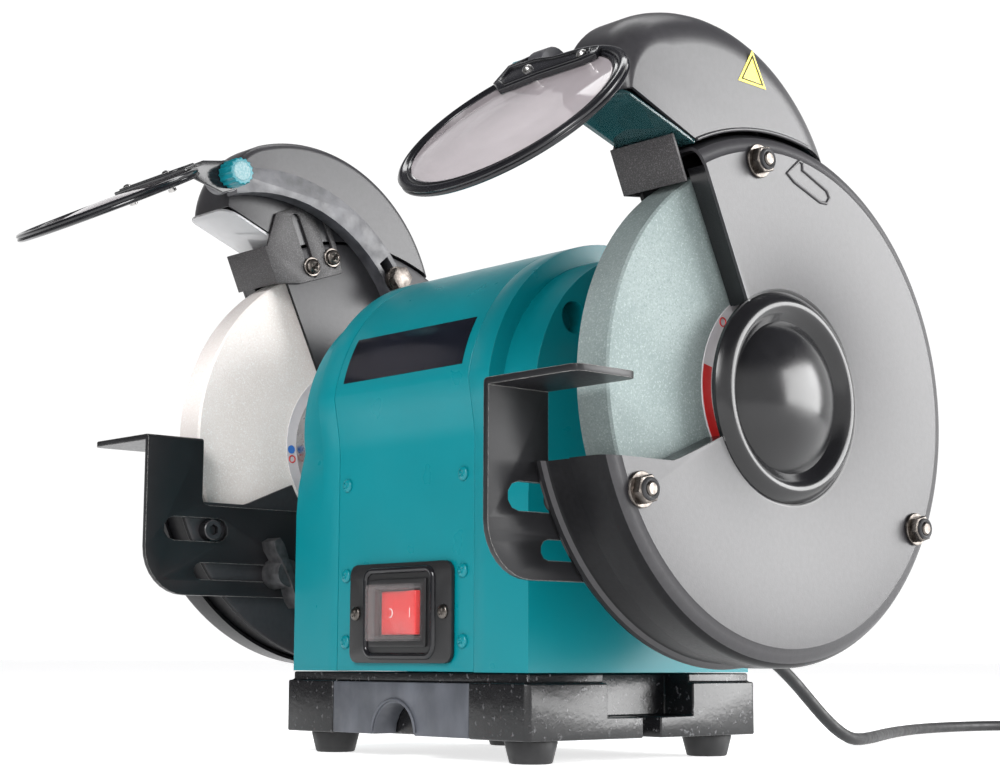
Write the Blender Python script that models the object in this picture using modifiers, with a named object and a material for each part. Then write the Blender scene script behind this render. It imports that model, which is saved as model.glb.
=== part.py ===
"""Bench grinder with two 205 mm wheels: every sub-part is its own object.

Sizes in this file are millimetres and are turned into Blender's metres where
a shape is made.  X runs along the wheel shaft, -Y is the side where the user
stands and Z is up.  Shapes are laid out around the shaft, which stands over
y = 0, and one root empty then moves the whole machine by SHAFT_Y, so that the
middle of its footprint is the scene's origin and its feet stand on z = 0.
"""
import math

import bmesh
import bpy
from mathutils import Matrix, Vector

MM = 0.001
SHAFT_Y = 42.7
SHAFT_Z = 162.0
GAP = 0.3
SIDES = {"left": -1, "right": 1}

# How finely round pieces are divided, in steps around
LARGE = 36
MEDIUM = 24
SMALL = 16
HOLE = 12

# Base casting and its feet
BASE_X = 89.4
BASE_FRONT = -80.7
BASE_REAR = 71.1
BASE_BOTTOM = 10.4
BASE_TOP = 35.4
LEDGE_TOP = 39.6
LEDGE_INSET = 2.8
INSERT_HALF = 50.2
INSERT_DEPTH = 14.0
FOOT_X = 71.9
FOOT_Y = {"front": -62.2, "rear": 54.1}
BOLT_NOTCH = (-31.0, 25.5)
BOLT_SLOT = (-8.0, 3.4)
NOTCH_FLOOR = 20.0

# Motor housing, seen along the shaft
HOUSING_FRONT = -78.0
HOUSING_REAR = 68.0
HOUSING_BOTTOM = 40.0
ARCH_RADIUS = 83.0
RIDGE_HEIGHT = 12.0
SHELL_HALF = 50.7
SHELL_SHEET = 1.5
BAND_END = 65.0
LIP_START = 32.0
BOSS_END = 87.0
BOSS_RADIUS = 74.0
BELL_WALL = 14.0
BEARING_RADIUS = 20.0
POST_RADIUS = 62.0
POST_ANGLES = (-90.0, 0.0, 66.0)

# Wheels and what clamps them; distances along the shaft from the middle
WHEEL_RADIUS = 102.5
WHEEL_INNER = 142.0
WHEEL_WIDTH = 19.0
WHEEL_OUTER = WHEEL_INNER + WHEEL_WIDTH
SHAFT_END = 181.5
FLANGE_RADIUS = 40.0

# Wheel guards, a little below and in front of the shaft to give the wheel room
GUARD_CENTRE = (-5.3, 159.2)
GUARD_BACK = 133.0
GUARD_FACE = 175.0
GUARD_RADIUS = 117.0
GUARD_SHEET = 1.6
GUARD_BORE = 47.5
STUD_RADIUS = 104.0
STUD_ANGLES = (99.9, 206.3, 329.3)

# Hood above the guard: a large arc, then a tighter one at its nose
HOOD_CENTRE = (-45.0, 235.0)
HOOD_RADIUS = 92.0
NOSE_RADIUS = 36.0
NOSE_START = 112.0
NOSE_END = 191.0
NOSE_FADE = 0.75
HOOD_OUTER = 171.0
HOOD_LIP = 119.0
HOOD_MOUTH = (-58.0, 265.8)
HOOD_TURN = {"left": -3.5, "right": 0.0}
HOOD_ROUNDING = {"inner": 4.0, "outer": 18.0}
PLATE_SHEET = 1.6

# Tool rest
REST_PLATE = (129.6, 132.6)
REST_OUTER = 184.1
REST_FRONT = -142.2
REST_BACK = -108.8
REST_TOP = 158.9
REST_SHEET = 3.0
REST_SHIFT = {"left": 2.0, "right": 0.0}
GUIDE_SLOT = (-125.5, -99.0, 111.6, 6.0)
CLAMP_SLOT = (-108.8, -52.0, 90.3, 4.3)
GUIDE_STUD = (-101.5, 111.6)
CLAMP_BOLT = (-61.0, 90.3)

# Spark arrester: its slots run up and forward at this angle from the vertical
ARRESTER_SCREW = (-39.0, 259.7)
ARRESTER_LEAN = 23.8
ARRESTER_PLATE = (131.2, 132.7)

# Eye shield: arm, knob and lens
ARM_CENTRE = (-69.0, 203.0)
ARM_RADIUS = 97.3
ARM_HALF = 6.5
ARM_PLATE = (121.2, 130.5)
ARM_ANGLES = (29.5, 107.0)
ARM_BOLT_ANGLE = 34.4
LUG_PLATE = (118.9, 120.9)
LENS_PIVOT = (-102.5, 298.0)
LENS_X = 150.0
LENS_REACH = 57.0
LENS_RISE = 8.0
LENS_TILT = {"left": 28.0, "right": 48.0}
FRAME_AXES = (60.0, 45.3)
OPENING_AXES = (53.6, 38.9)
FRAME_THICK = 4.6

# Switch in the front panel
SWITCH_Z = 67.4
BEZEL_HALF = (38.0, 23.5)
WINDOW_HALF = (23.6, 18.6)
ROCKER_HALF = (15.5, 10.3)
ROCKER_PIVOT_Y = -75.0
ROCKER_TILT = -8.0

# Mains lead
CORD_RADIUS = 3.25
CORD_EXIT = (45.0, 108.3, 52.0)
CORD_ROUTE = [
    CORD_EXIT,
    (45.2, 117.0, 51.6),
    (46.0, 127.5, 48.9),
    (48.0, 139.0, 42.2),
    (51.0, 150.5, 31.8),
    (54.0, 161.5, 20.4),
    (56.0, 173.0, 10.8),
    (56.0, 186.0, 4.9),
    (52.0, 201.0, 3.6),
    (42.0, 224.0, 3.6),
    (27.0, 252.0, 3.6),
    (10.0, 284.0, 3.6),
    (-7.0, 320.0, 3.6),
    (-21.0, 358.0, 3.6),
    (-29.0, 398.0, 3.6),
    (-28.0, 436.0, 3.6),
    (-15.0, 470.0, 3.6),
    (9.0, 496.0, 3.6),
    (40.0, 510.0, 3.6),
    (72.0, 513.7, 3.6),
    (100.0, 513.8, 3.6),
]
COIL_CENTRE = (101.0, 464.4)
COIL_RADIUS = 36.0
COIL_WIDTH = 19.6
COIL_HEIGHT = 13.2
PLUG_TAIL = (128.0, 510.3, 13.6)


# ---------------------------------------------------------------- scene setup

for old in list(bpy.data.objects):
    bpy.data.objects.remove(old)

grinder = bpy.data.collections.new("bench_grinder")
cutters = bpy.data.collections.new("cutters")
bpy.context.scene.collection.children.link(grinder)
bpy.context.scene.collection.children.link(cutters)


def empty(name, location=(0.0, 0.0, 0.0), parent=None):
    """An empty at a point given in millimetres in its parent's frame."""
    made = bpy.data.objects.new(name, None)
    made.location = Vector(location) * MM
    made.parent = parent
    grinder.objects.link(made)
    return made


root = empty("grinder_root", (0.0, SHAFT_Y, 0.0))


def material(name, colour, roughness, metallic=0.0):
    made = bpy.data.materials.new(name)
    made.use_nodes = True
    shader = made.node_tree.nodes["Principled BSDF"]
    shader.inputs["Base Color"].default_value = (*colour, 1.0)
    shader.inputs["Roughness"].default_value = roughness
    shader.inputs["Metallic"].default_value = metallic
    made.diffuse_color = (*colour, 1.0)
    return made


TEAL = material("teal_paint", (0.0, 0.27, 0.29), 0.32)
BLACK_CASTING = material("black_casting", (0.02, 0.02, 0.022), 0.4)
BLACK_COAT = material("black_coat", (0.035, 0.035, 0.04), 0.38)
GLOSS_BLACK = material("gloss_black", (0.012, 0.012, 0.014), 0.15)
GREY_PLASTIC = material("grey_plastic", (0.09, 0.10, 0.12), 0.5)
RED_PLASTIC = material("red_plastic", (0.75, 0.03, 0.03), 0.3)
CLEAR = material("clear_plastic", (0.75, 0.8, 0.85), 0.08)
STEEL = material("steel", (0.55, 0.54, 0.52), 0.3, 1.0)
LAMINATION = material("lamination_steel", (0.3, 0.3, 0.31), 0.5, 1.0)
COPPER = material("copper", (0.7, 0.3, 0.12), 0.4, 1.0)
GREEN_GRIT = material("green_grit", (0.42, 0.55, 0.52), 0.9)
WHITE_GRIT = material("white_grit", (0.8, 0.77, 0.72), 0.9)
RUBBER = material("rubber", (0.025, 0.025, 0.027), 0.7)
KNOB_TEAL = material("knob_teal", (0.0, 0.45, 0.52), 0.4)


# ------------------------------------------------------------- shape helpers

def paint_and_link(obj, paint):
    obj.data.materials.clear()
    obj.data.materials.append(paint)
    grinder.objects.link(obj)
    return obj


def place(obj, paint, parent=None):
    """Put an object under the root, or under a joint empty, and paint it."""
    obj.parent = parent or root
    if parent:
        obj.matrix_parent_inverse = Matrix.Translation(parent.location).inverted()
    return paint_and_link(obj, paint)


def mesh_object(name, bm):
    data = bpy.data.meshes.new(name)
    bmesh.ops.recalc_face_normals(bm, faces=bm.faces)
    bm.to_mesh(data)
    bm.free()
    return bpy.data.objects.new(name, data)


def box(name, low, high):
    bm = bmesh.new()
    bmesh.ops.create_cube(bm, size=1.0)
    size = [abs(b - a) * MM for a, b in zip(low, high)]
    middle = [(a + b) / 2 * MM for a, b in zip(low, high)]
    bmesh.ops.scale(bm, vec=size, verts=bm.verts)
    bmesh.ops.translate(bm, vec=middle, verts=bm.verts)
    return mesh_object(name, bm)


def cylinder(name, axis, start, end, radius, at, sides=SMALL, end_radius=None):
    """A cylinder or cone along X, Y or Z from start to end; at holds the other two."""
    bm = bmesh.new()
    bmesh.ops.create_cone(
        bm, cap_ends=True, segments=sides, depth=abs(end - start) * MM,
        radius1=radius * MM, radius2=(end_radius or radius) * MM)
    turn = {"X": Matrix.Rotation(math.pi / 2, 3, "Y"),
            "Y": Matrix.Rotation(-math.pi / 2, 3, "X"),
            "Z": Matrix.Identity(3)}[axis]
    if end < start:
        turn = turn @ Matrix.Rotation(math.pi, 3, "X")
    bmesh.ops.rotate(bm, cent=(0, 0, 0), matrix=turn, verts=bm.verts)
    middle = (start + end) / 2
    centre = {"X": (middle, at[0], at[1]),
              "Y": (at[0], middle, at[1]),
              "Z": (at[0], at[1], middle)}[axis]
    bmesh.ops.translate(bm, vec=Vector(centre) * MM, verts=bm.verts)
    return mesh_object(name, bm)


def arc(centre, radius, start, end, steps):
    """Points on an arc in the YZ or XY plane, both ends included."""
    points = []
    for step in range(steps + 1):
        angle = math.radians(start + (end - start) * step / steps)
        points.append((centre[0] + radius * math.cos(angle), centre[1] + radius * math.sin(angle)))
    return points


def polar(angle, radius, centre=(0.0, SHAFT_Z)):
    turn = math.radians(angle)
    return centre[0] + radius * math.cos(turn), centre[1] + radius * math.sin(turn)


def as_mesh(curve_object):
    """Turn a curve object into a closed mesh object of the same name."""
    name = curve_object.name
    bpy.context.scene.collection.objects.link(curve_object)
    depsgraph = bpy.context.evaluated_depsgraph_get()
    data = bpy.data.meshes.new_from_object(curve_object.evaluated_get(depsgraph))
    data.transform(curve_object.matrix_world)
    bpy.data.objects.remove(curve_object)
    bm = bmesh.new()
    bm.from_mesh(data)
    bmesh.ops.remove_doubles(bm, verts=bm.verts, dist=0.00001)
    bpy.data.meshes.remove(data)
    return mesh_object(name, bm)


def prism(name, plane, outline, start, end, holes=()):
    """A flat outline, thickened along the axis square to its plane (YZ, XZ or XY)."""
    curve = bpy.data.curves.new(name, "CURVE")
    curve.dimensions = "2D"
    curve.fill_mode = "BOTH"
    curve.extrude = abs(end - start) / 2 * MM
    for ring in (outline, *holes):
        spline = curve.splines.new("POLY")
        spline.points.add(len(ring) - 1)
        for point, (across, up) in zip(spline.points, ring):
            point.co = (across * MM, up * MM, 0.0, 1.0)
        spline.use_cyclic_u = True
    made = bpy.data.objects.new(name, curve)
    middle = (start + end) / 2 * MM
    if plane == "YZ":
        made.location = (middle, 0.0, 0.0)
        made.rotation_euler = (math.pi / 2, 0.0, math.pi / 2)
    elif plane == "XZ":
        made.location = (0.0, middle, 0.0)
        made.rotation_euler = (math.pi / 2, 0.0, 0.0)
    else:
        made.location = (0.0, 0.0, middle)
    return as_mesh(made)


def slot_outline(start, end, height, radius, steps=5):
    """A slot with round ends along the first axis."""
    return (arc((end, height), radius, -90, 90, steps)
            + arc((start, height), radius, 90, 270, steps))


def rounded_box(low, high, radius, steps=3):
    """A rectangle's outline with round corners."""
    return (arc((high[0] - radius, low[1] + radius), radius, -90, 0, steps)
            + arc((high[0] - radius, high[1] - radius), radius, 0, 90, steps)
            + arc((low[0] + radius, high[1] - radius), radius, 90, 180, steps)
            + arc((low[0] + radius, low[1] + radius), radius, 180, 270, steps))


def ellipse(axes, centre=(0.0, 0.0), steps=32):
    """An ellipse's outline."""
    points = []
    for step in range(steps):
        angle = 2 * math.pi * step / steps
        points.append((centre[0] + axes[0] * math.cos(angle), centre[1] + axes[1] * math.sin(angle)))
    return points


def turned(name, profile, side, steps=LARGE, closed=False, centre=(0.0, SHAFT_Z)):
    """A profile of (radius, distance out) turned around the shaft's direction.

    The profile runs down its outer side, from the largest distance to the smallest.
    """
    data = bpy.data.meshes.new(name)
    points = [(radius * MM, 0.0, out * MM) for radius, out in profile]
    edges = [(i, i + 1) for i in range(len(points) - 1)]
    if closed:
        edges.append((len(points) - 1, 0))
    data.from_pydata(points, edges, [])
    made = bpy.data.objects.new(name, data)
    made.location = (0.0, centre[0] * MM, centre[1] * MM)
    made.rotation_euler = (0.0, side * math.pi / 2, 0.0)
    screw = made.modifiers.new("turn", "SCREW")
    screw.steps = steps
    screw.render_steps = steps
    screw.use_merge_vertices = True
    screw.merge_threshold = 0.00001
    screw.use_smooth_shade = True
    return made


def combine(target, other, operation):
    """Boolean two objects; the second one is kept as a hidden cutter."""
    if other.parent is None:
        other.parent = root
    cutters.objects.link(other)
    other.hide_render = True
    other.display_type = "WIRE"
    step = target.modifiers.new(operation.lower(), "BOOLEAN")
    step.operation = operation
    step.solver = "EXACT"
    step.object = other
    return target


def cut(target, other):
    return combine(target, other, "DIFFERENCE")


def join(target, other):
    return combine(target, other, "UNION")


def round_edges(obj, width, segments=2, chosen=None):
    """Round the edges that the test picks; all sharp ones if there is no test."""
    bm = bmesh.new()
    bm.from_mesh(obj.data)
    edges = [edge for edge in bm.edges if len(edge.link_faces) == 2
             and edge.calc_face_angle() > math.radians(30)
             and (chosen is None or chosen(edge))]
    bmesh.ops.bevel(bm, geom=edges, offset=width * MM, segments=segments, profile=0.5,
                    affect="EDGES", clamp_overlap=True)
    bm.to_mesh(obj.data)
    bm.free()
    return obj


def edge_height(edge):
    """How far an edge climbs, in millimetres."""
    return abs((edge.verts[0].co - edge.verts[1].co).z) / MM


def on_face(edge, x):
    """Whether an edge lies in the plane at X, given in metres."""
    return all(abs(vert.co.x - x) < 1e-5 for vert in edge.verts)


def shade(obj, angle=35.0):
    """Shade a mesh smooth, except across edges sharper than the angle."""
    obj.data.shade_smooth()
    obj.data.set_sharp_from_angle(angle=math.radians(angle))
    return obj


def mirror_span(side, near, far):
    """The X range from near to far on one side, smallest first."""
    return tuple(sorted((side * near, side * far)))


# ------------------------------------------------------------ base and feet

def base_casting():
    casting = box("base_casting", (-BASE_X, BASE_FRONT, BASE_BOTTOM), (BASE_X, BASE_REAR, BASE_TOP))
    round_edges(casting, 2.2, 1, lambda edge: edge_height(edge) > 10)
    ledge = box("base_ledge",
                (-BASE_X + LEDGE_INSET, BASE_FRONT + LEDGE_INSET, BASE_TOP - 5),
                (BASE_X - LEDGE_INSET, BASE_REAR - LEDGE_INSET, LEDGE_TOP))
    join(casting, ledge)
    cut(casting, box("base_pocket", (-58, -58, 0), (58, 50, 29)))
    front = BASE_FRONT + INSERT_DEPTH + GAP
    seat = box("insert_seat", (-INSERT_HALF - GAP, -100, 0), (INSERT_HALF + GAP, front, BASE_TOP))
    cut(casting, seat)
    for side in SIDES.values():
        near, far = mirror_span(side, 71, 100)
        cut(casting, box("bolt_notch", (near, BOLT_NOTCH[0], NOTCH_FLOOR), (far, BOLT_NOTCH[1], 60)))
        near, far = mirror_span(side, 76, 100)
        cut(casting, box("bolt_slot", (near, BOLT_SLOT[0], 0), (far, BOLT_SLOT[1], 60)))
    place(casting, BLACK_CASTING)


def base_insert():
    outline = ([(INSERT_HALF, BASE_BOTTOM + GAP), (INSERT_HALF, BASE_TOP - GAP),
                (-INSERT_HALF, BASE_TOP - GAP), (-INSERT_HALF, BASE_BOTTOM + GAP)]
               + arc((-3.0, BASE_BOTTOM + GAP), 15.0, 180, 0, 10))
    insert = prism("base_insert", "XZ", outline, BASE_FRONT + GAP, BASE_FRONT + INSERT_DEPTH)
    place(insert, GREY_PLASTIC)


def feet():
    for row, y in FOOT_Y.items():
        for name, side in SIDES.items():
            foot = cylinder(f"foot_{row}_{name}", "Z", 0.0, BASE_BOTTOM - GAP, 9.6,
                            (side * FOOT_X, y), SMALL, 12.2)
            place(shade(foot), RUBBER)


# ------------------------------------------------------------ motor housing

def housing_side(inset):
    """The housing's outline from the front foot over the arch to the rear foot."""
    front = HOUSING_FRONT + inset
    rear = HOUSING_REAR - inset
    radius = ARCH_RADIUS - inset
    ridge = math.degrees(math.asin(RIDGE_HEIGHT / radius))
    shoulder = [(front, SHAFT_Z - 16), (front - 0.7, SHAFT_Z - 8), (front - 2.4, SHAFT_Z + 2)]
    tail = [(radius - 0.8, SHAFT_Z), (radius - 5, SHAFT_Z - 14), (rear + 3, SHAFT_Z - 25),
            (rear, SHAFT_Z - 36)]
    return shoulder + arc((0.0, SHAFT_Z), radius, 180 - ridge, ridge, 16) + tail


def housing_outline(inset, bottom):
    return ([(HOUSING_FRONT + inset, bottom)] + housing_side(inset)
            + [(HOUSING_REAR - inset, bottom)])


def boss_outline():
    """Outline of the deeper part of an end bell."""
    drop = math.degrees(math.asin(12.0 / BOSS_RADIUS))
    return ([(HOUSING_FRONT, HOUSING_BOTTOM), (HOUSING_FRONT, SHAFT_Z - 44),
             (HOUSING_FRONT + 1, SHAFT_Z - 30), (HOUSING_FRONT + 3, SHAFT_Z - 20)]
            + arc((0.0, SHAFT_Z), BOSS_RADIUS, 180 + drop, -drop, 15)
            + [(HOUSING_REAR + 2.4, SHAFT_Z - 22), (HOUSING_REAR, SHAFT_Z - 34),
               (HOUSING_REAR, HOUSING_BOTTOM)])


def body_shell():
    """Sheet wrapped over the motor, with a window for the switch."""
    outside = housing_outline(0.0, HOUSING_BOTTOM + 0.2)
    inside = housing_outline(SHELL_SHEET, HOUSING_BOTTOM + 0.2)
    shell = prism("body_shell", "YZ", outside + inside[::-1], -SHELL_HALF, SHELL_HALF)
    window = box("switch_window",
                 (-WINDOW_HALF[0] - GAP, HOUSING_FRONT - 5, SWITCH_Z - WINDOW_HALF[1] - GAP),
                 (WINDOW_HALF[0] + GAP, HOUSING_FRONT + 5, SWITCH_Z + WINDOW_HALF[1] + GAP))
    cut(shell, window)
    place(shade(shell), TEAL)


def end_bell(name, side):
    """Cast end of the housing: rim band, boss, bearing hub and three guard posts."""
    near, far = mirror_span(side, SHELL_HALF + GAP, BAND_END)
    bell = prism(f"end_bell_{name}", "YZ", housing_outline(0.0, HOUSING_BOTTOM), near, far)
    near, far = mirror_span(side, BAND_END - 3, BOSS_END)
    boss = prism("bell_boss", "YZ", boss_outline(), near, far)
    outer_face = side * BOSS_END * MM
    round_edges(boss, 4.0, 2, lambda edge: on_face(edge, outer_face)
                and min(v.co.z for v in edge.verts) > (HOUSING_BOTTOM + 1) * MM)
    join(bell, boss)
    near, far = mirror_span(side, LIP_START, SHELL_HALF + 3)
    join(bell, prism("bell_lip", "YZ", housing_outline(2.0, HOUSING_BOTTOM + 0.5), near, far))
    near, far = mirror_span(side, LIP_START - 5, BOSS_END - 5)
    cut(bell, prism("bell_cavity", "YZ", housing_outline(BELL_WALL, HOUSING_BOTTOM + 4), near, far))
    centre = (0.0, SHAFT_Z)
    join(bell, cylinder("bell_hub", "X", side * 66, side * 96, 27.0, centre, MEDIUM))
    for angle in POST_ANGLES:
        join(bell, cylinder("guard_post", "X", side * (BOSS_END - 3), side * (GUARD_BACK - GAP), 9.0,
                            polar(angle, POST_RADIUS), HOLE))
    cut(bell, cylinder("bearing_seat", "X", side * 60, side * 83, BEARING_RADIUS + GAP, centre, MEDIUM))
    cut(bell, cylinder("shaft_hole", "X", side * 60, side * 110, 11.0, centre))
    for y in (-49.5, 49.5):
        cut(bell, cylinder("vent_hole", "X", side * 76, side * 95, 7.6, (y, SHAFT_Z + 39)))
    place(bell, TEAL)


def motor():
    """Stator between the end bells, its winding, and the rotor core."""
    half = LIP_START - GAP
    stator = turned("stator_core", [(72, half), (72, -half), (38.6, -half), (38.6, half)], 1, MEDIUM,
                    True)
    place(stator, LAMINATION)
    end_turn = [(36, 52), (56, 52), (60, 48), (60, half + 0.6), (38.0, half + 0.6)]
    lower = [(radius, -out) for radius, out in reversed(end_turn)]
    winding = turned("stator_winding", end_turn + lower + [(34.3, -46), (34.3, 46)], 1, MEDIUM,
                     True)
    place(winding, COPPER)


def bearings():
    for name, side in SIDES.items():
        ring = [(BEARING_RADIUS, 82), (BEARING_RADIUS, 70), (8.9, 70), (8.9, 82)]
        place(turned(f"bearing_{name}", ring, side, MEDIUM, True), STEEL)


# --------------------------------------------------------------- the rotor

def rotor():
    axis = empty("rotor_axis", (0.0, 0.0, SHAFT_Z), root)
    radii = [(0, SHAFT_END), (6.6, SHAFT_END), (7.7, SHAFT_END - 1.2), (7.7, 128), (8.5, 127),
             (8.5, 66), (11, 65)]
    mirrored = [(radius, -out) for radius, out in reversed(radii)]
    place(turned("rotor_shaft", radii + mirrored, 1, SMALL), STEEL, axis)
    core = [(33.6, 32), (33.6, -32), (11.3, -32), (11.3, 32)]
    place(turned("rotor_core", core, 1, MEDIUM, True), LAMINATION, axis)
    grit = {"left": WHITE_GRIT, "right": GREEN_GRIT}
    for name, side in SIDES.items():
        wheel = [(WHEEL_RADIUS - 0.8, WHEEL_OUTER), (WHEEL_RADIUS, WHEEL_OUTER - 0.8),
                 (WHEEL_RADIUS, WHEEL_INNER + 0.8), (WHEEL_RADIUS - 0.8, WHEEL_INNER),
                 (8.0, WHEEL_INNER), (8.0, WHEEL_OUTER)]
        place(turned(f"wheel_{name}", wheel, side, 48, True), grit[name], axis)
        inner = [(FLANGE_RADIUS, WHEEL_INNER - 0.7), (FLANGE_RADIUS, 131.5), (35, 129.5),
                 (18, 124), (18, 118), (8.8, 118), (8.8, WHEEL_INNER - 0.7)]
        place(turned(f"inner_flange_{name}", inner, side, 28, True), STEEL, axis)
        outer = [(26, WHEEL_OUTER + 7), (FLANGE_RADIUS - 2, WHEEL_OUTER + 5.5),
                 (FLANGE_RADIUS, WHEEL_OUTER + 3.5), (FLANGE_RADIUS, WHEEL_OUTER + 0.7),
                 (8.0, WHEEL_OUTER + 0.7), (8.0, WHEEL_OUTER + 7)]
        place(turned(f"outer_flange_{name}", outer, side, 28, True), STEEL, axis)
        near, far = mirror_span(side, WHEEL_OUTER + 7 + GAP, WHEEL_OUTER + 17)
        nut = prism(f"wheel_nut_{name}", "YZ", arc((0, SHAFT_Z), 13.9, 0, 300, 5), near, far,
                    [arc((0, SHAFT_Z), 8.1, 0, 337.5, 15)])
        place(nut, STEEL, axis)


# -------------------------------------------------------------- wheel guards

def opening_cutter(side, radius):
    """Wedge in front of the wheel, down to a radius, where both guard halves are open."""
    ring = arc(GUARD_CENTRE, radius, 206, 122.6, 12)
    outline = ([(-200, 126.2), (-79, 126.2), (-75.5, 127.3)] + ring
               + [(-60, SHAFT_Z + 100), (-75, SHAFT_Z + 131), (-200, SHAFT_Z + 131)])
    near, far = mirror_span(side, 100, 220)
    return prism("guard_opening", "YZ", outline, near, far)


def guard_body(name, side):
    """Back plate and drum wall of one guard, open at the front."""
    back = GUARD_BACK
    wall = GUARD_RADIUS - GUARD_SHEET - 0.8
    profile = [(wall, 158), (wall, back + 5.4), (GUARD_RADIUS - 0.2, back + 4),
               (GUARD_RADIUS + 0.6, back + 2.2), (GUARD_RADIUS - 0.2, back), (GUARD_BORE, back),
               (GUARD_BORE, back + 2), (wall - GUARD_SHEET, back + 2), (wall - GUARD_SHEET, 158)]
    body = turned(f"guard_body_{name}", profile, side, LARGE, True, GUARD_CENTRE)
    cut(body, opening_cutter(side, GUARD_BORE - 4))
    stud = cylinder("guide_stud", "X", side * 127.6, side * (back + 1), 5.2, GUIDE_STUD)
    join(body, stud)
    cut(body, cylinder("clamp_hole", "X", side * 120, side * 140, 4.4, CLAMP_BOLT, HOLE))
    bolt = polar(ARM_BOLT_ANGLE, ARM_RADIUS, ARM_CENTRE)
    cut(body, cylinder("arm_hole", "X", side * 120, side * 140, 3.6, bolt, HOLE))
    place(body, BLACK_COAT)


def guard_cover(name, side):
    """Outer pan of one guard with its raised ring and dome."""
    face = GUARD_FACE
    rim = GUARD_RADIUS
    dome = [(0, face + 12), (14, face + 10.4), (25, face + 6.4), (33.0, face + 0.6)]
    ring = [(36, face - 1.2), (43.5, face + 2), (GUARD_BORE - 0.4, face)]
    edge = [(rim - 6.5, face), (rim - 2.8, face - 1.0), (rim - 0.6, face - 3.4), (rim, face - 6.5),
            (rim, face - 21)]
    cover = turned(f"guard_cover_{name}", dome + ring + edge, side, centre=GUARD_CENTRE)
    sheet = cover.modifiers.new("sheet", "SOLIDIFY")
    sheet.thickness = GUARD_SHEET * MM
    sheet.offset = -1.0
    cut(cover, opening_cutter(side, GUARD_BORE))
    for angle in STUD_ANGLES:
        cut(cover, cylinder("stud_hole", "X", side * (face - 8), side * (face + 5), 3.4,
                            polar(angle, STUD_RADIUS, GUARD_CENTRE), 8))
    place(cover, BLACK_COAT)


def cover_nuts(name, side):
    """Hex nut, washer and stud end at each of a cover's three fixings."""
    face = GUARD_FACE + GAP
    for number, angle in enumerate(STUD_ANGLES, start=1):
        centre = polar(angle, STUD_RADIUS, GUARD_CENTRE)
        near, far = mirror_span(side, face + 1.0, face + 6.4)
        nut = prism(f"cover_nut_{name}_{number}", "YZ", arc(centre, 5.9, 15, 315, 5), near, far)
        join(nut, cylinder("nut_washer", "X", side * face, side * (face + 1.5), 7.4, centre, HOLE))
        join(nut, cylinder("stud_end", "X", side * (face - 10), side * (face + 7.0), 3.0, centre, 8))
        place(nut, STEEL)


def about_guard(point, angle):
    """A point turned about the guard's centre."""
    turn = math.radians(angle)
    across = point[0] - GUARD_CENTRE[0]
    up = point[1] - GUARD_CENTRE[1]
    return (GUARD_CENTRE[0] + across * math.cos(turn) - up * math.sin(turn),
            GUARD_CENTRE[1] + across * math.sin(turn) + up * math.cos(turn))


def roof_line(inset):
    """The hood's roof, drawn in by an inset, from the guard's lip over the nose to the mouth."""
    radius = HOOD_RADIUS - inset
    apart = math.dist(HOOD_CENTRE, GUARD_CENTRE)
    down = (radius ** 2 - HOOD_LIP ** 2 + apart ** 2) / (2 * apart)
    to_guard = math.degrees(math.atan2(GUARD_CENTRE[1] - HOOD_CENTRE[1], GUARD_CENTRE[0] - HOOD_CENTRE[0]))
    start = to_guard + math.degrees(math.acos(down / radius))
    nose = polar(NOSE_START, HOOD_RADIUS - NOSE_RADIUS, HOOD_CENTRE)
    points = arc(HOOD_CENTRE, radius, start, NOSE_START, 12)
    for step in range(1, 7):
        along = step / 6
        angle = NOSE_START + (NOSE_END - NOSE_START) * along
        points.append(polar(angle, NOSE_RADIUS - inset * (1 - NOSE_FADE * along), nose))
    return points


def lip_line(rear):
    """The hood's edge along the guard, from the mouth back to the roof's rear end."""
    ends = [math.degrees(math.atan2(z - GUARD_CENTRE[1], y - GUARD_CENTRE[0])) for y, z in (HOOD_MOUTH, rear)]
    return arc(GUARD_CENTRE, HOOD_LIP, ends[0], ends[1], 8)


def hood_stations():
    """Distance out and inset of each roof line, from the inner wall to the outer one."""
    inner = HOOD_ROUNDING["inner"]
    outer = HOOD_ROUNDING["outer"]
    stations = []
    for angle in (0, 30, 60, 90):
        turn = math.radians(angle)
        stations.append((GUARD_BACK + inner * (1 - math.cos(turn)), inner * (1 - math.sin(turn))))
    for angle in (90, 67, 45, 22, 0):
        turn = math.radians(angle)
        stations.append((HOOD_OUTER - outer * (1 - math.cos(turn)), outer * (1 - math.sin(turn))))
    return stations


def hood(name, side):
    """Drawn sheet hood over the wheel's upper front, open below."""
    bm = bmesh.new()
    chains = []

    def chain(out, points):
        spots = [about_guard(point, HOOD_TURN[name]) for point in points]
        verts = [bm.verts.new(Vector((side * out, *spot)) * MM) for spot in spots]
        return [bm.edges.new(pair) for pair in zip(verts, verts[1:])]

    for out, inset in hood_stations():
        chains.append(chain(out, roof_line(inset)))
    for first, second in zip(chains, chains[1:]):
        bmesh.ops.bridge_loops(bm, edges=first + second)
    for end in (0, -1):
        roof = chains[end]
        out, inset = hood_stations()[end]
        lip = chain(out, lip_line(roof_line(inset)[0]))
        mouth = bm.edges.new((roof[-1].verts[1], lip[0].verts[0]))
        bmesh.ops.contextual_create(bm, geom=roof + [mouth] + lip)
    bmesh.ops.remove_doubles(bm, verts=bm.verts, dist=0.00001)
    made = mesh_object(f"hood_{name}", bm)
    sheet = made.modifiers.new("sheet", "SOLIDIFY")
    sheet.thickness = GUARD_SHEET * MM
    sheet.offset = -1.0
    place(shade(made), BLACK_COAT)


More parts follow.
